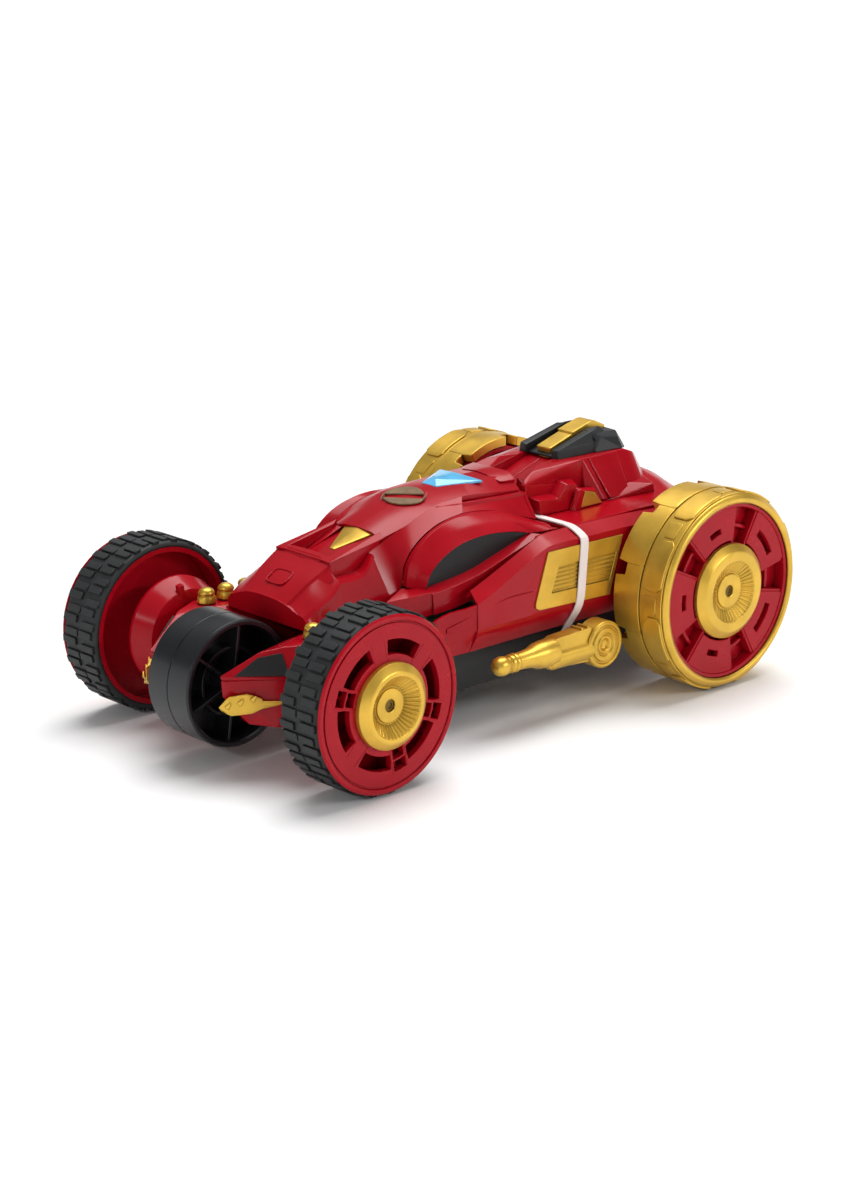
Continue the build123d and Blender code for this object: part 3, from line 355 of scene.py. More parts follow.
def piece(name, mesh, body, slot, edge=0.35, corner=28, stands_for=None):
    """A finished piece: placed in the row frame, bevelled, riding on its body.

    It stands for the CAD node of its own name unless told otherwise.
    """
    if stands_for is None:
        stands_for = name
    for vertex in mesh.vertices:
        vertex.co = Vector((vertex.co.x, vertex.co.y + front_y, vertex.co.z)) * MM
    mesh.name = name
    mesh.shade_smooth()
    mesh.materials.clear()
    mesh.materials.append(looks[slot])
    made = in_scene(name, mesh)
    if edge:
        rounding = made.modifiers.new("edges", "BEVEL")
        rounding.width = edge * MM
        rounding.segments = 2
        rounding.limit_method = "ANGLE"
        rounding.angle_limit = radians(corner)
        rounding.use_clamp_overlap = True
    even = made.modifiers.new("shading", "WEIGHTED_NORMAL")
    even.keep_sharp = True
    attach(made, body)
    if stands_for:
        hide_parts(*([stands_for] if isinstance(stands_for, str) else stands_for))
    return made


def pair(name, mesh, body, slot, **shape):
    """A left piece and its mirror image; their names and moving bodies end in _left and _right."""
    for side, half in (("left", mesh), ("right", mirrored(mesh))):
        where = f"{body}_{side}" if body != "car" else body
        piece(f"{name}_{side}", half, where, slot, **shape)


# ---- Front wheels ----
def tyre():
    """A carcass with a tread of short double bars in two staggered rows."""
    seat = front_r - 3.7
    base = front_r - 1.1
    width = tyre_high - tyre_low
    carcass = turned(
        [(tyre_low, seat), (tyre_low, base - 1.6), (tyre_low + 0.5, base - 0.6), (tyre_low + 1.8, base),
        (tyre_high - 1.8, base), (tyre_high - 0.5, base - 0.6), (tyre_high, base - 1.6), (tyre_high, seat)],
        0, front_r, steps=144)
    rows = 24
    pitch = 2 * pi * base / rows
    block = 0.42 * pitch
    parts = [carcass]
    for row in range(rows):
        for low, high, shift in ((0.7, 0.47 * width, 0), (0.51 * width, width - 0.7, 0.42)):
            start = pitch * (row + shift)
            for bar, (begin, end) in enumerate(((low, high - 1.6), (low + 1.4, high))):
                at = start + bar * block
                outline = [
                    (at, tyre_low + begin), (at + block * 0.72, tyre_low + begin),
                    (at + block * 0.72, tyre_low + end), (at, tyre_low + end)]
                parts.append(wrapped(plate([outline], 1.7, 0.25), base - 0.65, 0, front_r, step=1.8))
    return joined(*parts)


def spoke(turn, inner, outer, offset, width, depth, face, s, z):
    """A straight bar along a radius, standing on the plane x = face."""
    angle = radians(turn)
    corners = [
        (inner, offset - width / 2), (outer, offset - width / 2), (outer, offset + width / 2),
        (inner, offset + width / 2)]
    spun = [(a * cos(angle) - b * sin(angle), a * sin(angle) + b * cos(angle)) for a, b in corners]
    return wheel_face(plate([spun], depth, 0.25), face, s, z)


def front_rim():
    """Barrel, rolled lip, closed back and a slotted face with six ribs; three ribs are open pockets."""
    seat = front_r - 3.75
    barrel = turned(
        [(tyre_low, seat - 2.2), (tyre_low, seat), (tyre_high, seat), (tyre_high, front_r - 1.6),
        (tyre_high + 0.5, front_r - 1.2), (rim_face - 0.5, front_r - 1.5), (rim_face, front_r - 2.2),
        (rim_face - 0.1, 36.3), (rim_face - 0.9, 35.9), (rim_face - 0.9, 33.6), (rim_face - 3.6, 33.6),
        (rim_face - 3.6, seat - 2.2)], 0, front_r, steps=144)
    pockets = (162, 282, 342)
    holes = [sector(22, 28.4, 12 + 60 * slot, 39) for slot in range(6)]
    for middle in pockets:
        holes.append(sector(20.2, 24.6, middle, 14, parallel=True))
        holes.append(sector(25.6, 30.2, middle, 13, parallel=True))
    outline = arc(35.3, 0, 360, 120)[:-1]
    face = wheel_face(
        plate([outline, *holes, arc(9, 0, 360, 48)[:-1]], 3.4, 0.35), rim_face - 3.6, 0, front_r)
    parts = [barrel, face]
    for rib in range(6):
        middle = 42 + 60 * rib
        half = 4.1 if middle in pockets else 3.4
        reach = 31 if middle in pockets else 29.6
        for line in (-half, half):
            parts.append(spoke(middle, 19.4, reach, line, 0.7, 0.6, rim_face - 0.6, 0, front_r))
    hub = turned(
        [(tyre_low, 2), (tyre_low, 7), (rim_face - 3.6, 7), (rim_face - 3.6, 19.4), (rim_face - 1, 19.4),
        (rim_face - 1, 2)], 0, front_r, steps=64)
    back_wall = turned(
        [(rim_face - 15.8, 6.5), (rim_face - 15.8, seat - 2), (rim_face - 14.6, seat - 2),
        (rim_face - 14.6, 6.5)], 0, front_r, steps=96)
    parts += [hub, back_wall]
    for web in range(6):
        parts.append(spoke(42 + 60 * web, 6, seat - 1, 0, 1.4, 11, rim_face - 15, 0, front_r))
    return joined(*parts)


def hub_cap(face, r, collar, inner, funnel, boss, s, z):
    """A dished cap: collar, sloping rim and a fluted funnel round a flat boss."""
    flutes = 40
    funnel_rows = (6, 7)
    rim = face + collar
    outline = [
        (face - 0.6, 3), (face - 0.6, r), (rim, r), (rim + 2.4, r - 2.9), (rim + 2.9, r - 4.2),
        (rim + 2.7, inner), (rim + 2.2, inner - 0.5), (face + 1, funnel), (face + 0.7, boss + 0.3),
        (face + 0.7, boss), (face + 1.5, boss - 0.2), (face + 1.7, boss - 0.9), (face + 1.7, 3.4),
        (face + 1.2, 2.6)]

    def wave(index, step, x, r):
        if index in funnel_rows and step % 4 < 2:
            return x - 0.55, r + 0.15
        return x, r
    return turned(outline, s, z, steps=4 * flutes, wave=wave)


pair("front_tyre", tyre(), "front_wheel", "tyre_rubber", edge=0)
pair("front_rim", front_rim(), "front_wheel", "wheel_red", edge=0.3)
pair(
    "front_cap", hub_cap(rim_face - 1, 18.8, 3, 13.6, 8.4, 7.6, 0, front_r), "front_wheel", "cap_gold",
    edge=0.15, corner=35)


# ---- Rear drum wheels ----
def drum():
    """A gold drum: notched inner edge, a seam round its middle and raised armour plates outside."""
    base = rear_r - 0.9
    pitch = 2 * pi * base / 10
    parts = [
        turned([(drum_high - 2.4, rear_r - 5.6), (drum_high - 2.4, base - 0.4), (drum_high - 1.2, base - 1),
        (drum_high - 0.2, base - 2.2), (drum_high, base - 3.2), (drum_high - 0.6, rear_r - 5.6)], rear_s,
        rear_r, steps=160)]
    for part in range(10):
        start = pitch * part
        notch = 0.17 * pitch
        skirt = [
            (start, drum_low + 5.5), (start + notch, drum_low + 5.5), (start + notch + 0.8, drum_low),
            (start + pitch - 0.8, drum_low), (start + pitch, drum_low + 5.5),
            (start + pitch, drum_low + 15.2), (start, drum_low + 15.2)]
        parts.append(wrapped(plate([skirt], 4.6, 0.3), base - 4.2, rear_s, rear_r))
    parts.append(
        turned([(drum_low + 14, rear_r - 5.4), (drum_low + 14, base - 0.5), (drum_low + 15.7, base - 0.5),
        (drum_low + 15.9, base), (drum_high - 2.6, base), (drum_high - 2.2, base - 0.5),
        (drum_high - 2.2, rear_r - 5.4)], rear_s, rear_r, steps=160))
    armour = 2 * pi * base / 8
    for part in range(8):
        start = armour * (part + 0.1)
        low = drum_low + 17
        high = drum_high - 2.6
        outline = (
            (0, low + 4), (0.13, low + 0.6), (0.26, low), (0.6, low), (0.66, low + 1.4), (0.66, high - 2.4),
            (0.6, high), (0.06, high), (0, high - 1.6))
        panel = ((0.72, low + 1), (0.95, low + 3), (0.95, high - 2.6), (0.72, high - 2.6))
        for shape, thick, edge, sunk in ((outline, 1.2, 0.3, 1.25), (panel, 0.9, 0.25, 1.4)):
            flat = plate([[(start + share * armour, x) for share, x in shape]], thick, edge)
            parts.append(wrapped(flat, rear_r - sunk, rear_s, rear_r))
    return joined(*parts)


def rear_rim():
    """A red dish with five raised sector plates, slots in two sorts and deep pockets between."""
    seat = rear_r - 5.8
    lip = drum_high - 1.7
    face = drum_high - 2.6
    floor = drum_high - 8
    barrel = turned(
        [(drum_low + 0.8, seat - 2), (drum_low + 0.8, seat), (lip, seat), (lip - 0.3, seat - 1.6),
        (face - 1.6, seat - 2), (floor, seat - 2), (floor, 6), (floor - 1.6, 6), (floor - 1.6, seat - 2)],
        rear_s, rear_r, steps=144)
    hub = turned(
        [(drum_low + 0.8, 2.5), (drum_low + 0.8, 8), (floor - 1, 8), (floor - 1, 22.6), (face - 0.2, 22.6),
        (face - 0.2, 2.5)], rear_s, rear_r, steps=72)
    parts = [barrel, hub]
    for part in range(5):
        middle = 36 + 72 * part
        holes = [sector(29.6, 33, middle, 26)] if part in (0, 4) else [sector(28.6, 31.2, middle, 14)]
        outline = sector(23.6, seat - 1.5, middle, 48)
        parts.append(wheel_face(plate([outline, *holes], 3.2, 0.4), face - 2.9, rear_s, rear_r))
        parts.append(
            wheel_face(plate([sector(24, seat - 2, middle, 44)], 2.6, 0.3), face - 6.4, rear_s, rear_r))
        for rib in (-24.5, 24.5):
            parts.append(spoke(middle + rib, 21.5, seat - 1.6, 0, 1.6, 5.8, face - 6, rear_s, rear_r))
        parts.append(
            wheel_face(plate([sector(29.5, 31.2, middle + 36, 20)], 3.6, 0.3), face - 6.2, rear_s, rear_r))
    return joined(*parts)


pair("rear_drum", drum(), "rear_wheel", "drum_gold", edge=0)
pair("rear_rim", rear_rim(), "rear_wheel", "wheel_red", edge=0.3)
pair(
    "rear_cap", hub_cap(drum_high - 2.6, 22.4, 1.4, 14.6, 9.2, 8.2, rear_s, rear_r), "rear_wheel", "cap_gold",
    edge=0.15, corner=35)


# ---- Stunt roller and the round housings of the front wheels ----
def roller():
    """Two moulded halves with a seam between them, six webs and a ring inside."""
    half = size_of("stunt_roller").x / 2
    shell = turned(
        [(-half, roller_r - 2.2), (-half, roller_r - 0.7), (-half + 0.7, roller_r), (-0.35, roller_r),
        (-0.2, roller_r - 0.5), (0.2, roller_r - 0.5), (0.35, roller_r), (half - 0.7, roller_r),
        (half, roller_r - 0.7), (half, roller_r - 2.2), (half - 1, roller_r - 2.8), (1.2, roller_r - 3.2),
        (1.2, 7), (half - 1.5, 6.2), (half - 1.5, 2.1), (-half + 1.5, 2.1), (-half + 1.5, 6.2), (-1.2, 7),
        (-1.2, roller_r - 3.2), (-half + 1, roller_r - 2.8)], roller_s, roller_z, steps=128)
    parts = [shell]
    for web in range(6):
        parts.append(
            spoke(22 + 60 * web, 5.5, roller_r - 2.6, 0, 1.4, 2 * half - 6, -half + 3, roller_s, roller_z))
    ring = arc(15.5, 0, 360, 60)[:-1]
    parts.append(
        wheel_face(plate([ring, arc(14, 0, 360, 60)[:-1]], 2 * half - 12, 0.2), -half + 6, roller_s,
        roller_z))
    return joined(*parts)


piece("stunt_roller", roller(), "roller", "roller_black", edge=0.2)


def wheel_housing():
    """The round housing on the arm: a drum opening into a flared lip, with ribs and a stub for the axle."""
    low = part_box("front_hubs")[1].x / MM
    outline = [
        (44.3, 2.1), (44.3, 17), (45.5, 21), (54.2, 25), (54.6, 25.3), (56.2, 25.3), (56.5, 24.9),
        (56.4, 24.2), (52.5, 22.8), (51.5, 20.5), (51.5, 7), (low, 5.6), (low, 2.1)]
    shell = turned(outline, 0, front_r, steps=112)
    parts = [shell]
    for turn in (100, 20, 220, 300):
        parts.append(spoke(turn, 6, 24.2, 0, 2.8, 3, 44.6, 0, front_r))
    return joined(*parts)


piece("front_hubs", both(wheel_housing()), "car", "body_red", edge=0.3)


# ---- Tools for the body shells ----
def smooth_line(points, steps=16):
    """A curve through the given points, evenly divided by length."""
    bend = 0.5
    samples = 12
    points = [Vector(point) for point in points]
    ends = [2 * points[0] - points[1], *points, 2 * points[-1] - points[-2]]
    fine = []
    for before, start, end, after in zip(ends, ends[1:], ends[2:], ends[3:]):
        leave = (end - before) * bend
        arrive = (after - start) * bend
        for step in range(samples):
            t = step / samples
            fine.append(
                start * (2 * t ** 3 - 3 * t ** 2 + 1) + leave * (t ** 3 - 2 * t ** 2 + t)
                + end * (3 * t ** 2 - 2 * t ** 3) + arrive * (t ** 3 - t ** 2))
    fine.append(points[-1])
    length = sum((b - a).length for a, b in zip(fine, fine[1:]))
    line = [fine[0]]
    run = 0
    for a, b in zip(fine, fine[1:]):
        span = (b - a).length
        while len(line) < steps and run + span >= length * len(line) / steps:
            line.append(a.lerp(b, (length * len(line) / steps - run) / span))
        run += span
    return line + [fine[-1]]


def shifted(line, x, s, z):
    """The line moved as a whole."""
    return [point + Vector((x, s, z)) for point in line]


def skin(*rails, thick=1.8, inside=(0, 100, 45)):
    """A shell whose outer face runs through the given lines, walled towards a point inside it."""
    count = len(rails[0])
    shape = bmesh.new()
    corners = [shape.verts.new(point) for rail in rails for point in rail]
    for row in range(len(rails) - 1):
        for i in range(row * count, row * count + count - 1):
            shape.faces.new([corners[i], corners[i + 1], corners[i + 1 + count], corners[i + count]])
    bmesh.ops.remove_doubles(shape, verts=shape.verts, dist=0.02)
    bmesh.ops.recalc_face_normals(shape, faces=shape.faces)
    lean = sum(
        (face.calc_center_median() - Vector(inside)).normalized().dot(face.normal) * face.calc_area()
        for face in shape.faces)
    if lean < 0:
        bmesh.ops.reverse_faces(shape, faces=shape.faces)
    shape.normal_update()
    outer_faces = list(shape.faces)
    rim = [edge for edge in shape.edges if edge.is_boundary]
    inner = {}
    for vertex in list(shape.verts):
        facing = min((vertex.normal.dot(face.normal) for face in vertex.link_faces), default=1)
        inner[vertex] = shape.verts.new(vertex.co - vertex.normal * thick / max(0.6, facing))
    for face in outer_faces:
        shape.faces.new([inner[vertex] for vertex in reversed(face.verts)])
    for edge in rim:
        start, end = edge.verts
        shape.faces.new((start, end, inner[end], inner[start]))
    bmesh.ops.recalc_face_normals(shape, faces=shape.faces)
    return mesh_of(shape)


def laid(mesh, s, z, slope, crown=0):
    """A flat plate laid at (s, z) on a slope in degrees, sagging to both sides by the crown."""
    lean = radians(slope)

    def place(co):
        along = s + co.y * cos(lean) - co.z * sin(lean)
        up = z + co.y * sin(lean) + co.z * cos(lean) - crown * co.x * co.x
        return Vector((co.x, along, up))
    return moved(mesh, place)


def slab(outline, depth):
    """A block under a loop of points, reaching depth in the direction given."""
    outline = [Vector(point) for point in outline]
    count = len(outline)
    sides = [(i, (i + 1) % count, (i + 1) % count + count, i + count) for i in range(count)]
    return mesh_from(
        outline + [point + Vector(depth) for point in outline],
        sides + [tuple(range(count)), tuple(range(count, 2 * count))])


def wide(*points):
    """The convex block through these points and their mirror images."""
    return hull(*points, *[(-x, s, z) for x, s, z in points])


# ---- Nose and hood ----
flange = [
    (24.4, 7.2, 61.9), (25.2, 15, 66.6), (24.6, 23, 70.4), (23.6, 28.4, 74.4), (23.4, 36, 74.2),
    (23.4, 43, 74.8), (22.4, 47.6, 78.6), (20.6, 51, 81.2)]
ridge = [(18.4, 50.8, 81.2), (17.6, 60.6, 84.8), (17.6, 73, 89), (17.6, 82.6, 92.6), (17.6, 92.4, 95.4)]
roof_edge = [
    (17.6, 92.4, 95.4), (17.8, 107.6, 96.6), (18.4, 121.6, 95.6), (18.8, 135, 94.3), (18.8, 143.4, 93.6)]
arch_edge = [
    (28, 61.6, 66.4), (27.2, 63.6, 74.8), (27, 71.2, 83.6), (27, 84.2, 90), (27, 99.4, 92.3),
    (27.4, 118.6, 90), (29, 131.8, 85.6), (32, 141, 82)]


def nose():
    """A raised panel, a sloping side with a step, the curved flange and the blunt D-shaped front."""
    top = smooth_line([(0, 5.6, 67.6), (0, 16, 74.3), (0, 28.4, 80.6)])
    panel = smooth_line([(14.3, 6.8, 66), (16.2, 17, 73.6), (17.6, 28.4, 79.9)])
    step = shifted(panel, 0.9, 0.1, -1.3)
    ledge = smooth_line([(18.6, 7, 63.9), (19.8, 17, 71.2), (19.6, 28.4, 76.4)])
    rim = smooth_line(flange[:4])
    under = shifted(rim, 1.6, 0.3, -1.6)
    foot = [Vector((27.8, point.y + 0.8, 58.2)) for point in rim]
    quarter = [a.lerp(b, 0.5) + Vector((0, 0, 0.4)) for a, b in zip(top, panel)]
    cover = skin(top, quarter, panel, step, ledge, rim, under, foot, inside=(0, 18, 52))
    rounded = [
        (abs(u) ** 0.5 * (1 if u > 0 else -1),
        abs(v) ** 0.5 * (1 if v > 0 else -1)) for u, v in arc(1, 0, 360, 48)[:-1]]
    ring = [[(6.4 * u, 4.8 * v) for u, v in rounded], [(5.5 * u, 3.9 * v) for u, v in rounded]]
    pocket = laid(plate(ring, 0.8, 0.2), 15.4, 73.5, 28.5)
    facet = hull((19, 20, 72.4), (18.4, 27.8, 78.8), (22.6, 26.8, 74.6), (21.4, 21.5, 71.4), (18, 26, 72))
    half = smooth_line(
        [(0, 5, 67.7), (8, 5.3, 67.2), (15, 6.1, 65.6), (21, 6.8, 63), (25.6, 7.3, 60.2), (26.6, 7.5, 58),
        (25.8, 7.2, 56.2)])
    front = slab(half + [Vector((-x, s, z)) for x, s, z in reversed(half[1:])], (0, 2.4, 0))
    return joined(both(joined(cover, facet)), front, pocket)


def hood():
    """The roof, its side slopes, the open vent block in front and a ledge along each roof edge."""
    centre = smooth_line(
        [(0, 60.4, 87.8), (0, 72, 91.6), (0, 88, 96.3), (0, 103, 99.2), (0, 121, 100.6), (0, 143.4, 100.4)],
        30)
    crown = smooth_line(
        [(9, 60.4, 87.3), (9.6, 72, 91.1), (10, 88, 95.7), (10.6, 103, 98.5), (11.2, 121, 99.7),
        (11.4, 143.4, 99.6)], 30)
    edge = smooth_line([(16, 60.4, 85.4), *ridge[2:4], *roof_edge], 30)
    roof = skin(centre, crown, edge, shifted(edge, 0.2, 0, -2.2), inside=(0, 100, 60))
    slope = skin(
        smooth_line(ridge + roof_edge[1:2], 26), smooth_line([(28.4, 55.3, 60.5), *arch_edge[:5]], 26),
        inside=(0, 90, 50))
    channel = smooth_line([(17.8, 91, 94.9), (19.2, 104, 93.2), (19.8, 120, 92.4), (20, 143.2, 91.6)])
    strake = smooth_line([(18.2, 91, 95), (20.4, 104, 94.9), (21, 120, 94.2), (21, 143.2, 93.2)])
    lip = smooth_line([(18.8, 91, 94.8), (22.2, 104, 94.7), (23, 120, 94), (23, 143.2, 93)])
    below = shifted(lip, 0.3, 0, -1.2)
    flank = smooth_line(
        [(26.8, 91, 91.4), (26.8, 104, 91.9), (27.2, 118, 89.9), (28.4, 130, 86), (30, 143.2, 81.8)])
    side = skin(shifted(channel, -1, 0, 0), channel, strake, lip, below, flank, inside=(0, 110, 60))
    end_wall = hull(
        *[(x, s, z) for s in (141.6, 143.3) for x, z in ((19, 93.2), (23, 92.8), (30, 82.2), (18.6, 82))])
    back = hull(
        *[(x, s, z) for x, z in ((18.4, 93.4), (11, 99.2), (0, 100), (0, 82), (18.6, 82))
        for s in (141.8, 143.3)])
    rear_step = hull(
        (8, 133, 100.3), (15, 134.6, 98.2), (15.8, 143.3, 97.8), (11.6, 143.3, 100.9), (0, 143.3, 101),
        (0, 133, 101), (0, 137, 97), (15, 143.3, 95))
    shelf_in = smooth_line([(17.4, 28.4, 74.2), (17.4, 43, 74.6), (18, 48.6, 78.8), (18.4, 51, 81.3)])
    shelf = smooth_line(flange[3:])
    shelf_under = shifted(shelf, 1.2, -0.4, -1.5)
    skirt = smooth_line([(27.8, 29.2, 58.2), (28, 43, 57.6), (28.2, 52, 58.5), (28.4, 55.3, 60.5)])
    apron = skin(shelf_in, shelf, shelf_under, skirt, inside=(0, 40, 60))
    rail = hull(
        (18, 28.3, 81.1), (13, 28.3, 81.4), (18, 30.1, 73.4), (13, 30.1, 73.4), (18, 46, 74.6), (13, 52, 78),
        (18.2, 50.6, 81), (17.8, 59.6, 86), (14.6, 61.2, 88.2), (13.2, 58, 86.8), (14, 61.2, 84))
    lip_bar = hull(
        (13.2, 28.3, 81.4), (0, 28, 81.6), (0, 33, 82.4), (13.2, 32.4, 82.2), (13.2, 30.1, 73.4),
        (0, 29.8, 73.4), (0, 34.5, 74), (13.2, 34, 74))
    brow = hull(
        (12, 27.6, 80), (0, 27.3, 80.2), (11, 29.6, 82.1), (0, 29.4, 82.3), (12, 29, 77.6), (0, 28.8, 77.6))
    recess = hull(
        (13.6, 32, 75.2), (0, 32, 75.2), (13.6, 61.5, 84), (0, 61.5, 86), (13.6, 61.5, 80), (0, 61.5, 80),
        (13.6, 32, 73.6), (0, 32, 73.6))
    brace = hull(
        (11.2, 36, 76.4), (12.2, 36, 76.4), (10.2, 60, 85.6), (13.4, 60, 86), (11.2, 36, 75), (12.2, 60, 82))
    return both(
        joined(roof, slope, side, end_wall, back, rear_step, apron, rail, lip_bar, brow, recess, brace))


piece("nose_panel", nose(), "car", "body_red", edge=0.4, corner=20)
piece("hood_shell", hood(), "car", "body_red", edge=0.45, corner=20)


def vent_wedge():
    """A gold wedge: a ridge rising to the back, widening from a point."""
    return wide(
        (0, 47, 81.6), (1.6, 45.4, 80.6), (9.2, 61.2, 86.2), (0, 61.6, 87.8), (9.2, 61.2, 83),
        (1.6, 45.4, 77.5))


def badge():
    """A plain oval inlay in two halves, parted by a diagonal gap, laid on the slope of the hood."""
    middle = centre_of("hood_badge").y - front_y
    ring = arc(1, 0, 360, 40)[:-1]
    shield = [(11.6 * u, 8 * v * (1 - 0.12 * u * u) + 0.2) for u, v in ring]
    turn = radians(28)
    halves = []
    for side in (-1, 1):
        cut = [(u, v) for u, v in shield if side * (v * cos(turn) - u * sin(turn)) > 0.55]
        cut.sort(key=lambda p: side * (p[0] * cos(turn) + p[1] * sin(turn)))
        halves.append(plate([cut], 0.9, 0.25))
    return laid(joined(*halves), middle, 96.5, 15.5, crown=0.0045)


def canopy():
    """A faceted blue gem, narrow in front and wide behind."""
    return wide(
        (4.7, 104, 99.4), (14.1, 124.2, 100.4), (0, 120.8, 102), (0, 122.4, 101.4), (5.2, 112, 101.3),
        (4.7, 104, 98.6), (14.1, 124.2, 99.4), (0, 108, 101.3))


piece("hood_vent_insert", vent_wedge(), "car", "trim_gold", edge=0.25)
piece("hood_badge", badge(), "car", "badge_brown", edge=0)
piece("canopy_lens", canopy(), "car", "canopy_blue", edge=0.2, corner=6)

# ---- Fenders, windows and side pods ----
frame_edge = [
    (38.6, 66.6, 66), (39.2, 68.6, 72.2), (39.8, 75, 78.2), (40.4, 86, 83), (41, 101, 84.6),
    (41.6, 116, 83.3), (42.4, 127.4, 80.7)]
sill_edge = [(38.6, 66.6, 66), (40.4, 80, 67.9), (41.2, 92.6, 70.2), (41.8, 108, 74.8), (42.4, 127.4, 80.7)]


def fender():
    """The arch over the cabin window: a rounded band, the window's frame and the sill below it."""
    outer = smooth_line([(point[0] + 0.35, point[1] + 0.2, point[2] - 0.25) for point in arch_edge], 30)
    crest = smooth_line(
        [(32.4, 60.2, 66.6), (32.6, 62, 77), (32.2, 70.8, 85.4), (31.2, 82, 90.2), (30.6, 96, 92),
        (31.8, 117, 89.8), (34.4, 131, 85.2), (38, 140.6, 82.2)], 30)
    shoulder = smooth_line(
        [(34.6, 62.6, 65.6), (34.8, 65, 74.2), (35, 72, 81.4), (35.2, 84.2, 87.2), (35.4, 98.6, 89.6),
        (36, 116.4, 88.3), (37.8, 130.4, 84.7), (41.2, 140.2, 82)], 30)
    inner = smooth_line(
        [(36.2, 63.7, 65.2), (36.6, 65.8, 73.2), (36.8, 72.6, 79.6), (37, 84.4, 85.4), (37.4, 98.6, 87.8),
        (38.2, 115.6, 87), (40, 130, 83.8), (43.4, 139.6, 81.4)], 30)
    window = smooth_line(frame_edge, 30)
    reveal = [Vector((point.x - 1, point.y, point.z - 0.4)) for point in window]
    band = skin(outer, crest, shoulder, inner, window, reveal, thick=1.4, inside=(10, 100, 50))
    sill = smooth_line(sill_edge, 24)
    groove = [Vector((point.x - 0.9, point.y, point.z + 0.5)) for point in sill]
    ledge = smooth_line(
        [(43.2, 66, 64.6), (44.6, 80, 66.4), (45.4, 92.6, 69), (46.4, 108, 74), (47, 130, 80.6)], 24)
    wall = smooth_line(
        [(44.4, 66, 55.4), (45.8, 80, 57), (46.4, 92.6, 59.8), (47, 108, 66), (47.4, 130, 76)], 24)
    lower = skin(groove, sill, ledge, wall, thick=1.4, inside=(10, 100, 60))
    tail = skin(
        inner[22:], smooth_line([(42.4, 127.4, 80.7), (44, 133, 80.8), (46, 141, 81.3)], 8), thick=1.2,
        inside=(10, 130, 60))
    wedge = hull(
        (29, 56.4, 58), (29.4, 60, 65.6), (36.2, 64.2, 66.4), (43.4, 68.8, 65.2), (43.6, 68.8, 55.6),
        (42, 63, 54.6), (37.4, 51.6, 62), (35, 46, 63.2), (30.6, 50, 55))
    return joined(band, lower, tail, wedge)


def side_window():
    """The dark pane, gently crowned, in the plane of the window frame."""
    top = smooth_line(frame_edge, 24)
    bottom = smooth_line(sill_edge, 24)
    middle = [a.lerp(b, 0.5) + Vector((0.5, 0, 0)) for a, b in zip(top, bottom)]
    sunk = Vector((-0.8, 0, 0))
    return skin(
        *[[point + sunk for point in line] for line in (top, middle, bottom)], thick=1, inside=(0, 95, 70))


def side_pod():
    """The long side cover: ramp and shoulder bevel, outer wall with a raised lower panel, hollow behind."""
    bevel_top = smooth_line(
        [(51.4, 80.8, 65), (51.4, 92, 69.2), (51.6, 106, 75), (51.4, 119, 80.2), (49.6, 129, 81.4),
        (49, 150, 81.4), (49, 185, 80.8), (49, 214, 79)], 44)
    bevel_low = smooth_line(
        [(56.6, 80.6, 59.6), (57, 92, 64.2), (57, 106, 70.6), (57, 120, 76.6), (57, 128, 78.2), (57, 150, 78),
        (57, 178.8, 77.6), (57, 214, 75)], 44)
    inner = [
        Vector((min(48.4, point.x - 0.4), point.y,
        point.z - 3 if point.y < 122 else point.z + 0.05)) for point in bevel_top]
    waist = [Vector((57, point.y - 0.10 * (point.y - 80), 49.6)) for point in bevel_low]
    tuck = [Vector((55.8, point.y, 44.4)) for point in waist]
    bottom = [Vector((51.4, point.y, 36.8)) for point in waist]
    upper = skin(inner, bevel_top, bevel_low, waist, tuck, bottom, thick=1.6, inside=(20, 130, 55))
    nose_top = smooth_line(
        [(50.2, 50, 46), (50.2, 56, 52), (51.4, 66.4, 56.6), (54.4, 76, 58.2), (56.6, 81.6, 59.8)])
    nose_waist = [Vector((point.x, point.y, 47.8 - 0.1 * (81.6 - point.y))) for point in nose_top]
    nose_foot = [Vector((50.2 + 0.037 * (point.y - 50), point.y, 36.8)) for point in nose_top]
    nose_wall = skin(nose_top, nose_waist, nose_foot, thick=1.6, inside=(20, 65, 45))
    crease = smooth_line([(51.6, 66.4, 50.2), (55.2, 80, 54.8), (57.1, 96, 58.8), (57.1, 114, 59)])
    panel = skin(
        shifted(crease, 0.05, 0, 0.3), shifted(crease, 0.35, 0, 0),
        [Vector((point.x + 0.3, point.y, 48.2)) for point in crease], thick=0.8, inside=(20, 90, 50))
    return joined(upper, nose_wall, panel)


def grille():
    """A gold frame round six sloping louvres on a back plate."""
    plane = lambda co: Vector((56.5 + co.z, co.x, co.y))
    outline = [(123.2, 75.6), (171.6, 74.8), (163.6, 47.8), (118, 49.6), (115.9, 50.8), (115.6, 52.6)]
    corners = [(130.2, 67.8), (167.2, 67.2), (163.2, 54.8), (125.6, 56)]
    parts = [
        moved(plate([outline, corners[::-1]], 1.3, 0.2), plane),
        slab([(56.6, s, z) for s, z in corners], (0.5, 0, 0))]
    for slat in range(6):
        share = (slat + 0.35) / 6.2
        start = [a + (b - a) * share for a, b in zip(corners[0], corners[3])]
        end = [a + (b - a) * share for a, b in zip(corners[1], corners[2])]
        section = ((57, 0), (57.75, 0.9), (57, 1.3))
        parts.append(hull(*[(x, s, z - drop) for x, drop in section for s, z in (start, end)]))
    return joined(*parts)


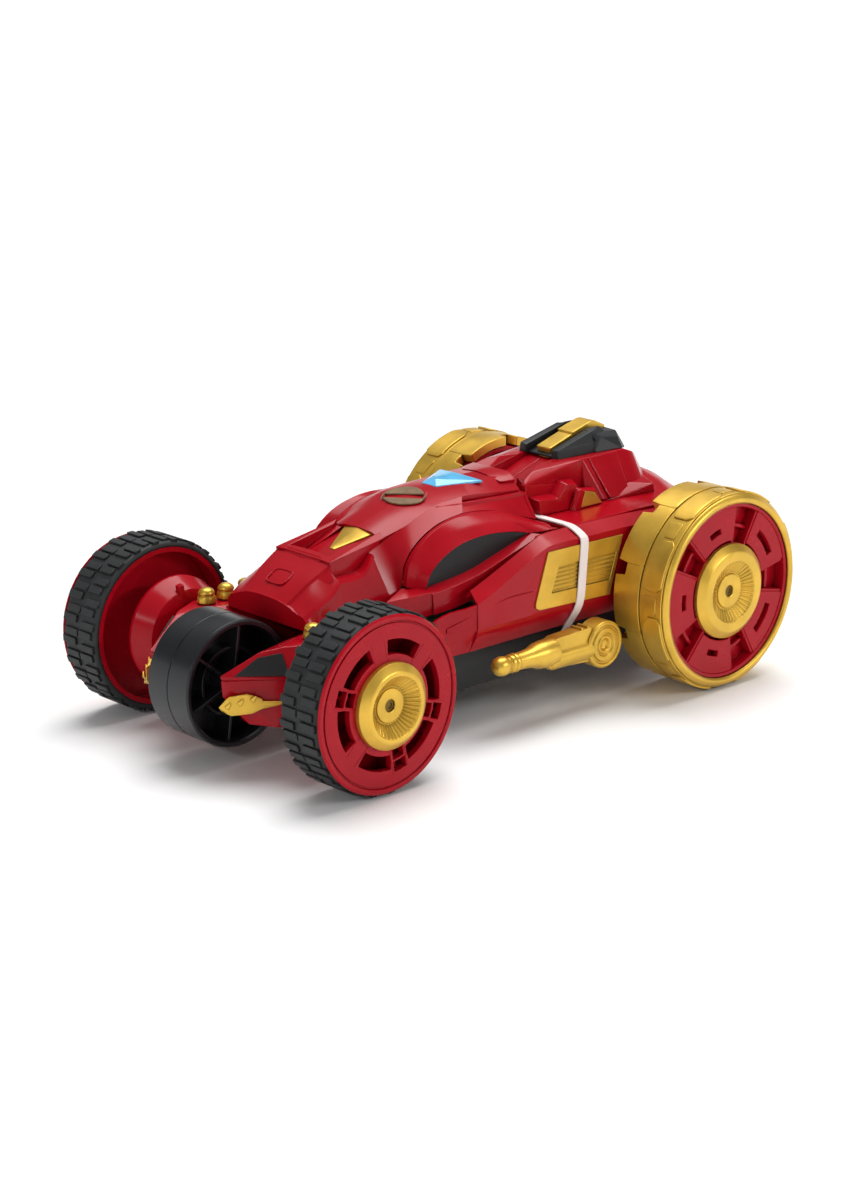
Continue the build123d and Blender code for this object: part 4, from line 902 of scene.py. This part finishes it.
def band():
    """The elastic loop with rounded corners: up both pods and across the deck."""
    path = [(44.6, 16.4), (50.8, 35.4), (56.6, 44.2), (58.3, 49.8), (58.3, 76.8), (57, 78.8), (49.2, 82.1)]
    loop = [Vector(point) for point in path + [(-x, z) for x, z in reversed(path)]]
    corner_size = 2
    for _ in range(3):
        cut = []
        for start, end in zip(loop, loop[1:] + loop[:1]):
            share = min(0.25, corner_size / (end - start).length)
            cut += [start.lerp(end, share), end.lerp(start, share)]
        loop = cut
    middle = cannon_s - 6.4
    lean = radians(4.6)
    half_thick = 0.4
    half_wide = 2.4
    points = []
    for before, point, after in zip(loop[-1:] + loop, loop, loop[1:] + loop[:1]):
        run = (after - before).normalized()
        for proud, across in ((-half_thick, -half_wide), (half_thick, -half_wide), (half_thick, half_wide),
                (-half_thick, half_wide)):
            x = point.x + run.y * proud
            z = point.y - run.x * proud
            s = middle + (z - cannon_z) * tan(lean) - across * cos(lean)
            points.append((x, s, z + across * sin(lean)))
    count = len(points)
    faces = []
    for i in range(0, count, 4):
        for j, k in ((0, 1), (1, 2), (2, 3), (3, 0)):
            faces.append((i + j, i + k, (i + 4 + k) % count, (i + 4 + j) % count))
    return mesh_from(points, faces)


pair("fender", fender(), "car", "body_red", edge=0.35, corner=24)
piece("side_windows", both(side_window()), "car", "window_grey", edge=0.2)
pair("side_pod", side_pod(), "car", "body_red", edge=0.45, corner=24)
piece("side_grilles", both(grille()), "car", "trim_gold", edge=0.15)
piece("elastic_band", band(), "car", "band_white", edge=0.2)

# ---- Turret ----
def turret():
    """Angular blocks: two shoulders with a channel between, a tower with faceted flanks, fins and steps."""
    shoulder = hull(
        (17.6, 147.2, 97.2), (10, 150, 96.4), (16.4, 153.6, 99.7), (12, 160.4, 101.2), (9.4, 172, 101),
        (19.6, 184, 101.2), (9.4, 186, 101.4), (9.4, 158, 82), (20.2, 145, 95.7), (20.4, 178, 92.4),
        (20.2, 144.4, 82), (10, 150, 82), (21, 184, 82), (9.4, 184, 82))
    floor_block = hull(
        *[(x, s, z) for s, z in ((154, 92), (176, 99.6), (154, 82), (186, 82), (186, 101)) for x in (0, 9.8)])
    tower = hull(
        (0, 181, 101), (19.6, 183.6, 101.4), (19.8, 211.6, 101.7), (19, 218.3, 99.2), (10, 229.1, 95.4),
        (0, 229.1, 95.4), (0, 214, 101.8), (28.6, 189.5, 82.4), (29.4, 211.6, 82.4), (27, 219, 84),
        (20, 228, 83), (0, 229.1, 83), (0, 182, 82), (24, 182, 82))
    facet = hull(
        (20.4, 187, 101.2), (20.6, 206, 101.6), (30.2, 206, 82.6), (30, 192.4, 82.6), (18, 187, 100.8),
        (18, 206, 100.8), (27, 193, 82.6), (27, 206, 82.6), (20.8, 188, 100), (20.8, 205, 100.2))
    foot_step = hull(
        (28, 147, 89.2), (20, 146.4, 90.2), (28, 160.6, 88), (20, 162, 89.4), (28.4, 147.4, 84.2),
        (20, 146.4, 83), (29, 168, 81.8), (20, 168, 81.8), (28.4, 148, 81.8), (20, 148, 81.8))
    ramp = hull(
        (28, 159.6, 88), (20, 160.6, 89.4), (27, 166.4, 93.4), (20, 166.6, 94.6), (27, 172.6, 92.4),
        (20, 176, 93.6), (29, 171, 82), (29, 160, 82), (20, 160, 82), (20, 176, 82), (27.6, 176, 84))
    fin = hull(
        (28, 198.4, 84.4), (33.8, 218.2, 86.2), (22, 222, 88), (22, 200, 88), (32.6, 220.2, 80.4),
        (28.4, 190, 81.6), (28.8, 212, 80.6), (20, 190, 81.6), (20, 222, 81), (30.4, 198, 81.4))
    ledge = hull(
        (21, 144.8, 95.6), (21, 173, 92), (21.4, 144.8, 82), (22, 173, 82), (18, 144.8, 95.6), (18, 173, 92),
        (18, 144.8, 82), (18, 173, 82))
    return both(joined(shoulder, floor_block, tower, facet, foot_step, ramp, fin, ledge))


def scoop():
    """A small intake beside the turret: a sloping block with a raised lip in front of its mouth."""
    body = hull(
        (27, 166.6, 82), (27, 171.4, 91), (27, 184.4, 89.2), (27, 188.8, 82), (31, 168, 81.6),
        (30.4, 173, 90.2), (30.4, 181.8, 88.6), (31, 186, 81.6))
    front_lip = hull(
        (32.4, 165.6, 81.6), (31.4, 170, 90.8), (30, 169, 91), (29, 165, 81.6), (32.6, 169.6, 81.6),
        (31.6, 173.4, 90.2), (30, 174, 90.2), (30, 170, 81.6))
    return joined(body, front_lip)


def scoop_mouth():
    """The gold inlay in the mouth of a scoop."""
    return hull(
        (30, 170.4, 82.4), (30, 174.2, 89.6), (30, 180.6, 88), (30, 184.6, 82.4), (31.6, 170.4, 82.4),
        (31.2, 174.2, 89.6), (31.2, 180.6, 88), (31.6, 184.6, 82.4))


def saddle():
    """The black cap: two prongs forward and a body behind, split by the spine."""
    prong = hull(
        (8.4, 174.1, 100.8), (13, 174.3, 100.8), (8.4, 174.3, 104.8), (12.4, 174.5, 105.2), (7.6, 200, 111.6),
        (11.8, 199, 111.2), (14.4, 194, 106), (14.8, 190, 101.2), (7.6, 200, 101.4), (14.8, 200, 101.4))
    web = hull(
        *[(x, s, z) for s, z in ((176, 100.6), (176, 101.6), (198, 107.6), (198, 100.6)) for x in (0, 9)])
    rear = hull(
        (0, 199, 109.4), (11.8, 199, 110.2), (14.4, 202, 108), (10.6, 215.6, 108.6), (0, 215.9, 108.9),
        (15, 212.6, 106.6), (19, 211.8, 101.8), (10.4, 222.8, 98.9), (0, 222.9, 99), (16, 196, 101.4),
        (0, 196, 101.4), (0, 196, 106), (8, 196, 106))
    shoulder = hull(
        (12.2, 197, 110.6), (8.4, 206, 111.8), (14.6, 198, 106.6), (12.6, 208.6, 108), (8, 198, 108),
        (8.4, 209, 109.2), (8, 197, 111.4))
    return both(joined(prong, web, rear, shoulder))


def spine():
    """The gold strip: a low run between the prongs and a raised block behind a step."""
    low = wide((4.4, 177.4, 104.7), (4.4, 178.4, 101.6), (4.4, 193.8, 109.7), (4.4, 194.5, 104))
    tongue = wide((3.4, 178.6, 102.6), (3.4, 184, 103), (3.4, 177.4, 97.4), (3.4, 184, 98))
    block = wide(
        (4.9, 192, 110.2), (4.9, 204.4, 113.6), (4.9, 207, 113.6), (4.4, 214.6, 110.2), (4.4, 214.6, 107),
        (4.9, 192.6, 106))
    return joined(low, tongue, block)


def deck():
    """The flat deck beside the turret and the rounded tail behind it, with side walls down to the chassis."""
    rows = (143.8, 150, 170, 200, 222, 232, 240, 247, 251.5, 254.2)
    middle_z = (81.8, 81.8, 82, 84, 90, 89, 85.6, 80.6, 74.6, 66)
    side_z = (81.8, 81.8, 81.8, 82, 84.6, 84, 80.6, 75.4, 69, 60)
    outer_z = (81.7, 81.7, 81.7, 81.5, 80.6, 78.6, 74.6, 69.4, 63, 55)
    lines = []
    for x, heights in ((0, middle_z), (14, [(2 * a + b) / 3 for a, b in zip(middle_z, side_z)]), (24, side_z),
            (38, outer_z), (48.4, outer_z)):
        lines.append(smooth_line([(min(x, 46) if s > 224 else x, s, z) for s, z in zip(rows, heights)], 32))
    walls = [Vector((point.x - 0.6, point.y, 38)) for point in lines[-1]]
    tail = slab(
        [(0, 254.2, 66.2), (24, 254.2, 60.2), (45.4, 254.2, 55.2), (44.6, 254.2, 38), (0, 254.2, 38)],
        (0, -1.8, 0))
    return both(joined(skin(*lines, walls, thick=1.8, inside=(0, 200, 50)), tail))


piece("rear_deck", deck(), "car", "body_red", edge=0.4, corner=24)
piece("turret_housing", turret(), "car", "body_red", edge=0.5, corner=12)
piece("scoops", both(scoop()), "car", "body_red", edge=0.45, corner=12, stands_for=())
piece("scoop_inserts", both(scoop_mouth()), "car", "trim_gold", edge=0.2)
piece("turret_cap", saddle(), "car", "cap_black", edge=0.5, corner=12)
piece("turret_spine", spine(), "car", "trim_gold", edge=0.4, corner=12)

# ---- Cannons, claws and studs ----
def cannon():
    """A drum with rings round a centre hole, a flat barrel block, a lower tube and a ball on a neck."""
    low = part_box("cannon_left")[0].x / MM
    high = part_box("cannon_left")[1].x / MM
    middle = (low + high) / 2
    drum_part = turned(
        [(low, 2.4), (low, 10.4), (low + 0.6, 11), (high - 0.8, 11), (high - 0.1, 10.3), (high - 0.1, 9.2),
        (high - 1, 8.9), (high - 1, 7.9), (high - 0.2, 7.6), (high - 0.2, 5.6), (high - 1.1, 5.2),
        (high - 1.1, 4.4), (high - 0.4, 4.1), (high - 0.5, 3), (high - 2.2, 2.4), (high - 3, 0),
        (high - 4.2, 0), (high - 4.2, 2.4)], cannon_s, cannon_z, steps=72)
    back = cannon_s - 8
    plate_body = hull(
        (low + 1, back, 39.2), (high - 1.6, back, 39.4), (low + 1, cannon_s - 29, 38.4),
        (high - 1.8, cannon_s - 29, 38.6), (low + 1, cannon_s - 38, 35.6), (high - 2.4, cannon_s - 38, 35.8),
        (low + 1, back, 23.4), (high - 1.6, back, 23.4), (low + 1, cannon_s - 33, 25),
        (high - 2, cannon_s - 33, 25), (low + 1.5, cannon_s - 40, 29), (high - 3, cannon_s - 40, 29))
    neck_z = cannon_z + 2.4
    along = lambda co: Vector((middle + co.y - cannon_s, co.x + cannon_s, neck_z + co.z - cannon_z))
    neck = turned(
        [(-66.3, 0), (-66.1, 1.8), (-65.2, 3.2), (-63.6, 4.2), (-61.4, 4.5), (-59.6, 4.2), (-58.4, 3.5),
        (-57.8, 3.3), (-57.2, 4.1), (-55.8, 4.3), (-55.2, 3.6), (-54.8, 4.2), (-53.6, 4.4), (-52.8, 3.9),
        (-48, 4.1), (-44, 4.6), (-40, 6), (-36, 6.4), (-30, 6.4), (-30, 0)], cannon_s, cannon_z, steps=40)
    tube_z = cannon_z - 1
    lower = turned(
        [(-34, 0), (-34, 3.2), (-33, 4.4), (-31.4, 5), (-8, 5.4), (-8, 0)], cannon_s, cannon_z, steps=36)
    sideways = lambda co: Vector((high - 4.8 + co.y - cannon_s, co.x + cannon_s, tube_z + co.z - cannon_z))
    straps = []
    for start in (cannon_s - 9, cannon_s - 13):
        straps.append(
            hull(*[(x, s, z) for inside, outside in ((40, 40.2), (38, 38)) for s in (start, start - 1.2)
            for x, z in ((low + 1, inside), (high - 2, outside))]))
    return joined(drum_part, plate_body, moved(neck, along), moved(lower, sideways), *straps)


ledge_front = Vector((24.4, -37.6, 43.8))
ledge_rear = Vector((44, -13.6, 43.8))
arm_ridge = Vector((30, -21.5, 54.3))


def fork_arm():
    """An arm beside the roller: flared windowed face over a ledge, set-back lower face, belly and root."""
    upper = hull(
        (24, -38.5, 45.7), ledge_front, arm_ridge, (36, -13, 56.2), ledge_rear, (30, 2, 56.3), (44, 2, 56),
        (16, -31, 41.7), (16, -8, 48), (16, 2, 50), (16, 2, 41), (44, 2, 43.8))
    lower = hull(
        (23.6, -37.6, 43.6), (16, -30.5, 41.5), (23.4, -36.8, 36.5), (16, -29.5, 35), (30, -27.9, 23.6),
        (16, -20, 20), (40, -20.6, 23), (42.8, -13, 43.8), (42.8, -13, 26), (16, 2, 43.8), (42.8, 2, 43.8),
        (16, 2, 19), (42.8, 2, 19))
    root = hull(
        (16, 0, 50), (30, 0, 56.3), (44, 0, 55.8), (16, 45.6, 56.4), (44, 45.6, 55.4), (16, 0, 18.2),
        (44, 0, 18.2), (16, 45.6, 17.4), (44, 45.6, 17.4))
    return joined(upper, lower, root)


def fork_window():
    """The dark inlay on the flared face, between the ledge and the ridge."""
    along = (ledge_rear - ledge_front).normalized()
    out = along.cross(arm_ridge - ledge_front).normalized()
    up = out.cross(along)
    outline = [(5, 1.4), (15.2, 9.4), (25.4, 11.2), (28.4, 1.4)]
    return slab([ledge_front + along * u + up * v + out * 1.2 for u, v in outline], -2.4 * out)


def claw():
    """A pointed claw under the window: a blunt ridged beak and a long thin tail."""
    beak = hull(
        (24.5, -40, 32.6), (28, -37.6, 37.4), (33.5, -31.4, 38.6), (37, -26, 36.4), (30, -37.6, 29.4),
        (34.5, -30, 29.8), (37.6, -25.2, 32.4), (24, -38.6, 30.6), (27, -33, 29.5), (30, -29, 37.8))
    tail = hull(
        (34, -30.6, 33.4), (36.6, -26.4, 35.4), (42.2, -18.6, 34.8), (42.6, -18.4, 33.8), (35, -28, 31),
        (33, -28, 34.6), (40.4, -19.6, 33))
    ridges = []
    for step in range(3):
        at = Vector((27.2, -39, 33.4)).lerp(Vector((34, -30.6, 36.4)), step / 2)
        ridges.append(
            hull(at, at + Vector((1, -0.7, 0.3)), at + Vector((2.6, 1.2, 2.2)), at + Vector((3.4, 1.6, 1.8)),
            at + Vector((2.2, 0.4, -1.2)), at + Vector((0.6, 1.4, -2))))
    return joined(beak, tail, *ridges)


def studs():
    """Three domed studs in two tiers along each arm."""
    caps = []
    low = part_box("stud_caps")[0].z / MM
    for s in (3, 14, 25.5):
        stud = turned(
            [(0, 0), (0, 4.2), (0.5, 4.3), (2.8, 4), (3.2, 3.3), (3.6, 3.1), (4, 3.6), (4.6, 3.7), (5.8, 3.1),
            (6.5, 2), (6.8, 0)], 0, 0, steps=40)
        caps.append(moved(stud, lambda co, s=s: Vector((36 + co.y, s + co.z, low + co.x))))
    return both(joined(*caps))


pair("fork_arm", fork_arm(), "car", "body_red", edge=0.5, corner=16)
piece("fork_windows", both(fork_window()), "car", "window_grey", edge=0.2)
pair("cannon", cannon(), "cannon_arm", "cannon_gold", edge=0.25, corner=30)
piece("fork_claws", both(claw()), "car", "trim_gold", edge=0.35, corner=14)
piece("stud_caps", studs(), "car", "trim_gold", edge=0)


# ---- CAD nodes that stay in view ----
for part in frame["record"]["subparts"]:
    shown = frame["nodes"][part["node"]]
    shown.data.materials.clear()
    # the hub screws take the darkened gold, which holds the painted shade of their holes
    shown.data.materials.append(screw_shade_gold if "hub_screw" in part["node"] else looks[part["material_slot"]])


# ---- Floor, light and camera ----
def floor():
    shape = bmesh.new()
    bmesh.ops.create_grid(shape, x_segments=24, y_segments=24, size=30)
    mesh = mesh_of(shape)
    made = in_scene("floor", mesh)
    made.location.z = -0.2 * MM
    pale = finish_of("floor_paper", (0.88, 0.88, 0.88), 0.7, mottle=0, grain=400, bump=0.02)
    mesh.materials.append(pale)


def area_light(name, place, aim, size, power):
    lamp = bpy.data.lights.new(name, "AREA")
    lamp.shape = "RECTANGLE"
    lamp.size = size[0]
    lamp.size_y = size[1]
    lamp.energy = power
    made = in_scene(name, lamp)
    made.location = place
    made.rotation_euler = (Vector(aim) - Vector(place)).to_track_quat("-Z", "Y").to_euler()


def sun_light(name, towards, power, spread):
    lamp = bpy.data.lights.new(name, "SUN")
    lamp.energy = power
    lamp.angle = radians(spread)
    made = in_scene(name, lamp)
    made.rotation_euler = (-Vector(towards)).to_track_quat("-Z", "Y").to_euler()


def studio_world():
    """White at the horizon like the floor, dim just above it and brighter towards the top."""
    world = bpy.data.worlds.new("studio")
    world.use_nodes = True
    tree = world.node_tree
    background = tree.nodes["Background"]
    place = node(tree, "TexCoord")
    split = node(tree, "SeparateXYZ")
    tree.links.new(place.outputs["Generated"], split.inputs["Vector"])
    heights = node(tree, "ValToRGB")
    glow, dim = heights.color_ramp.elements
    glow.position = 0.20
    glow.color = (1, 1, 1, 1)
    dim.position = 0.27
    dim.color = (0.05, 0.05, 0.05, 1)
    zenith = heights.color_ramp.elements.new(0.75)
    zenith.color = (0.4, 0.4, 0.4, 1)
    tree.links.new(split.outputs["Z"], heights.inputs["Fac"])
    tree.links.new(heights.outputs["Color"], background.inputs["Color"])
    background.inputs["Strength"].default_value = 1
    return world


floor()
sun_light("overhead", (-0.2, 0.3, 1), 3, 50)
area_light("side_strip", (1.3, 0.5, 0.7), (0, 0, 0.05), (0.8, 0.10), 6)
area_light("front_strip", (0.3, -1.4, 0.75), (0, 0, 0.05), (0.8, 0.08), 3)
bpy.context.scene.world = studio_world()
bpy.context.scene.view_settings.view_transform = "Standard"

lens = bpy.data.cameras.new("camera")
lens.sensor_width = 36
lens.lens = 85.25
lens.clip_start = 0.05
lens.clip_end = 100
camera = in_scene("camera", lens)
azimuth = radians(46.92)
elevation = radians(16.69)
towards_camera = Vector((sin(azimuth) * cos(elevation), -cos(azimuth) * cos(elevation), sin(elevation)))
camera.location = Vector((900.5, -840.5, 417.7)) * MM
camera.rotation_mode = "QUATERNION"
camera.rotation_quaternion = (-towards_camera).to_track_quat("-Z", "Y")
bpy.context.scene.camera = camera
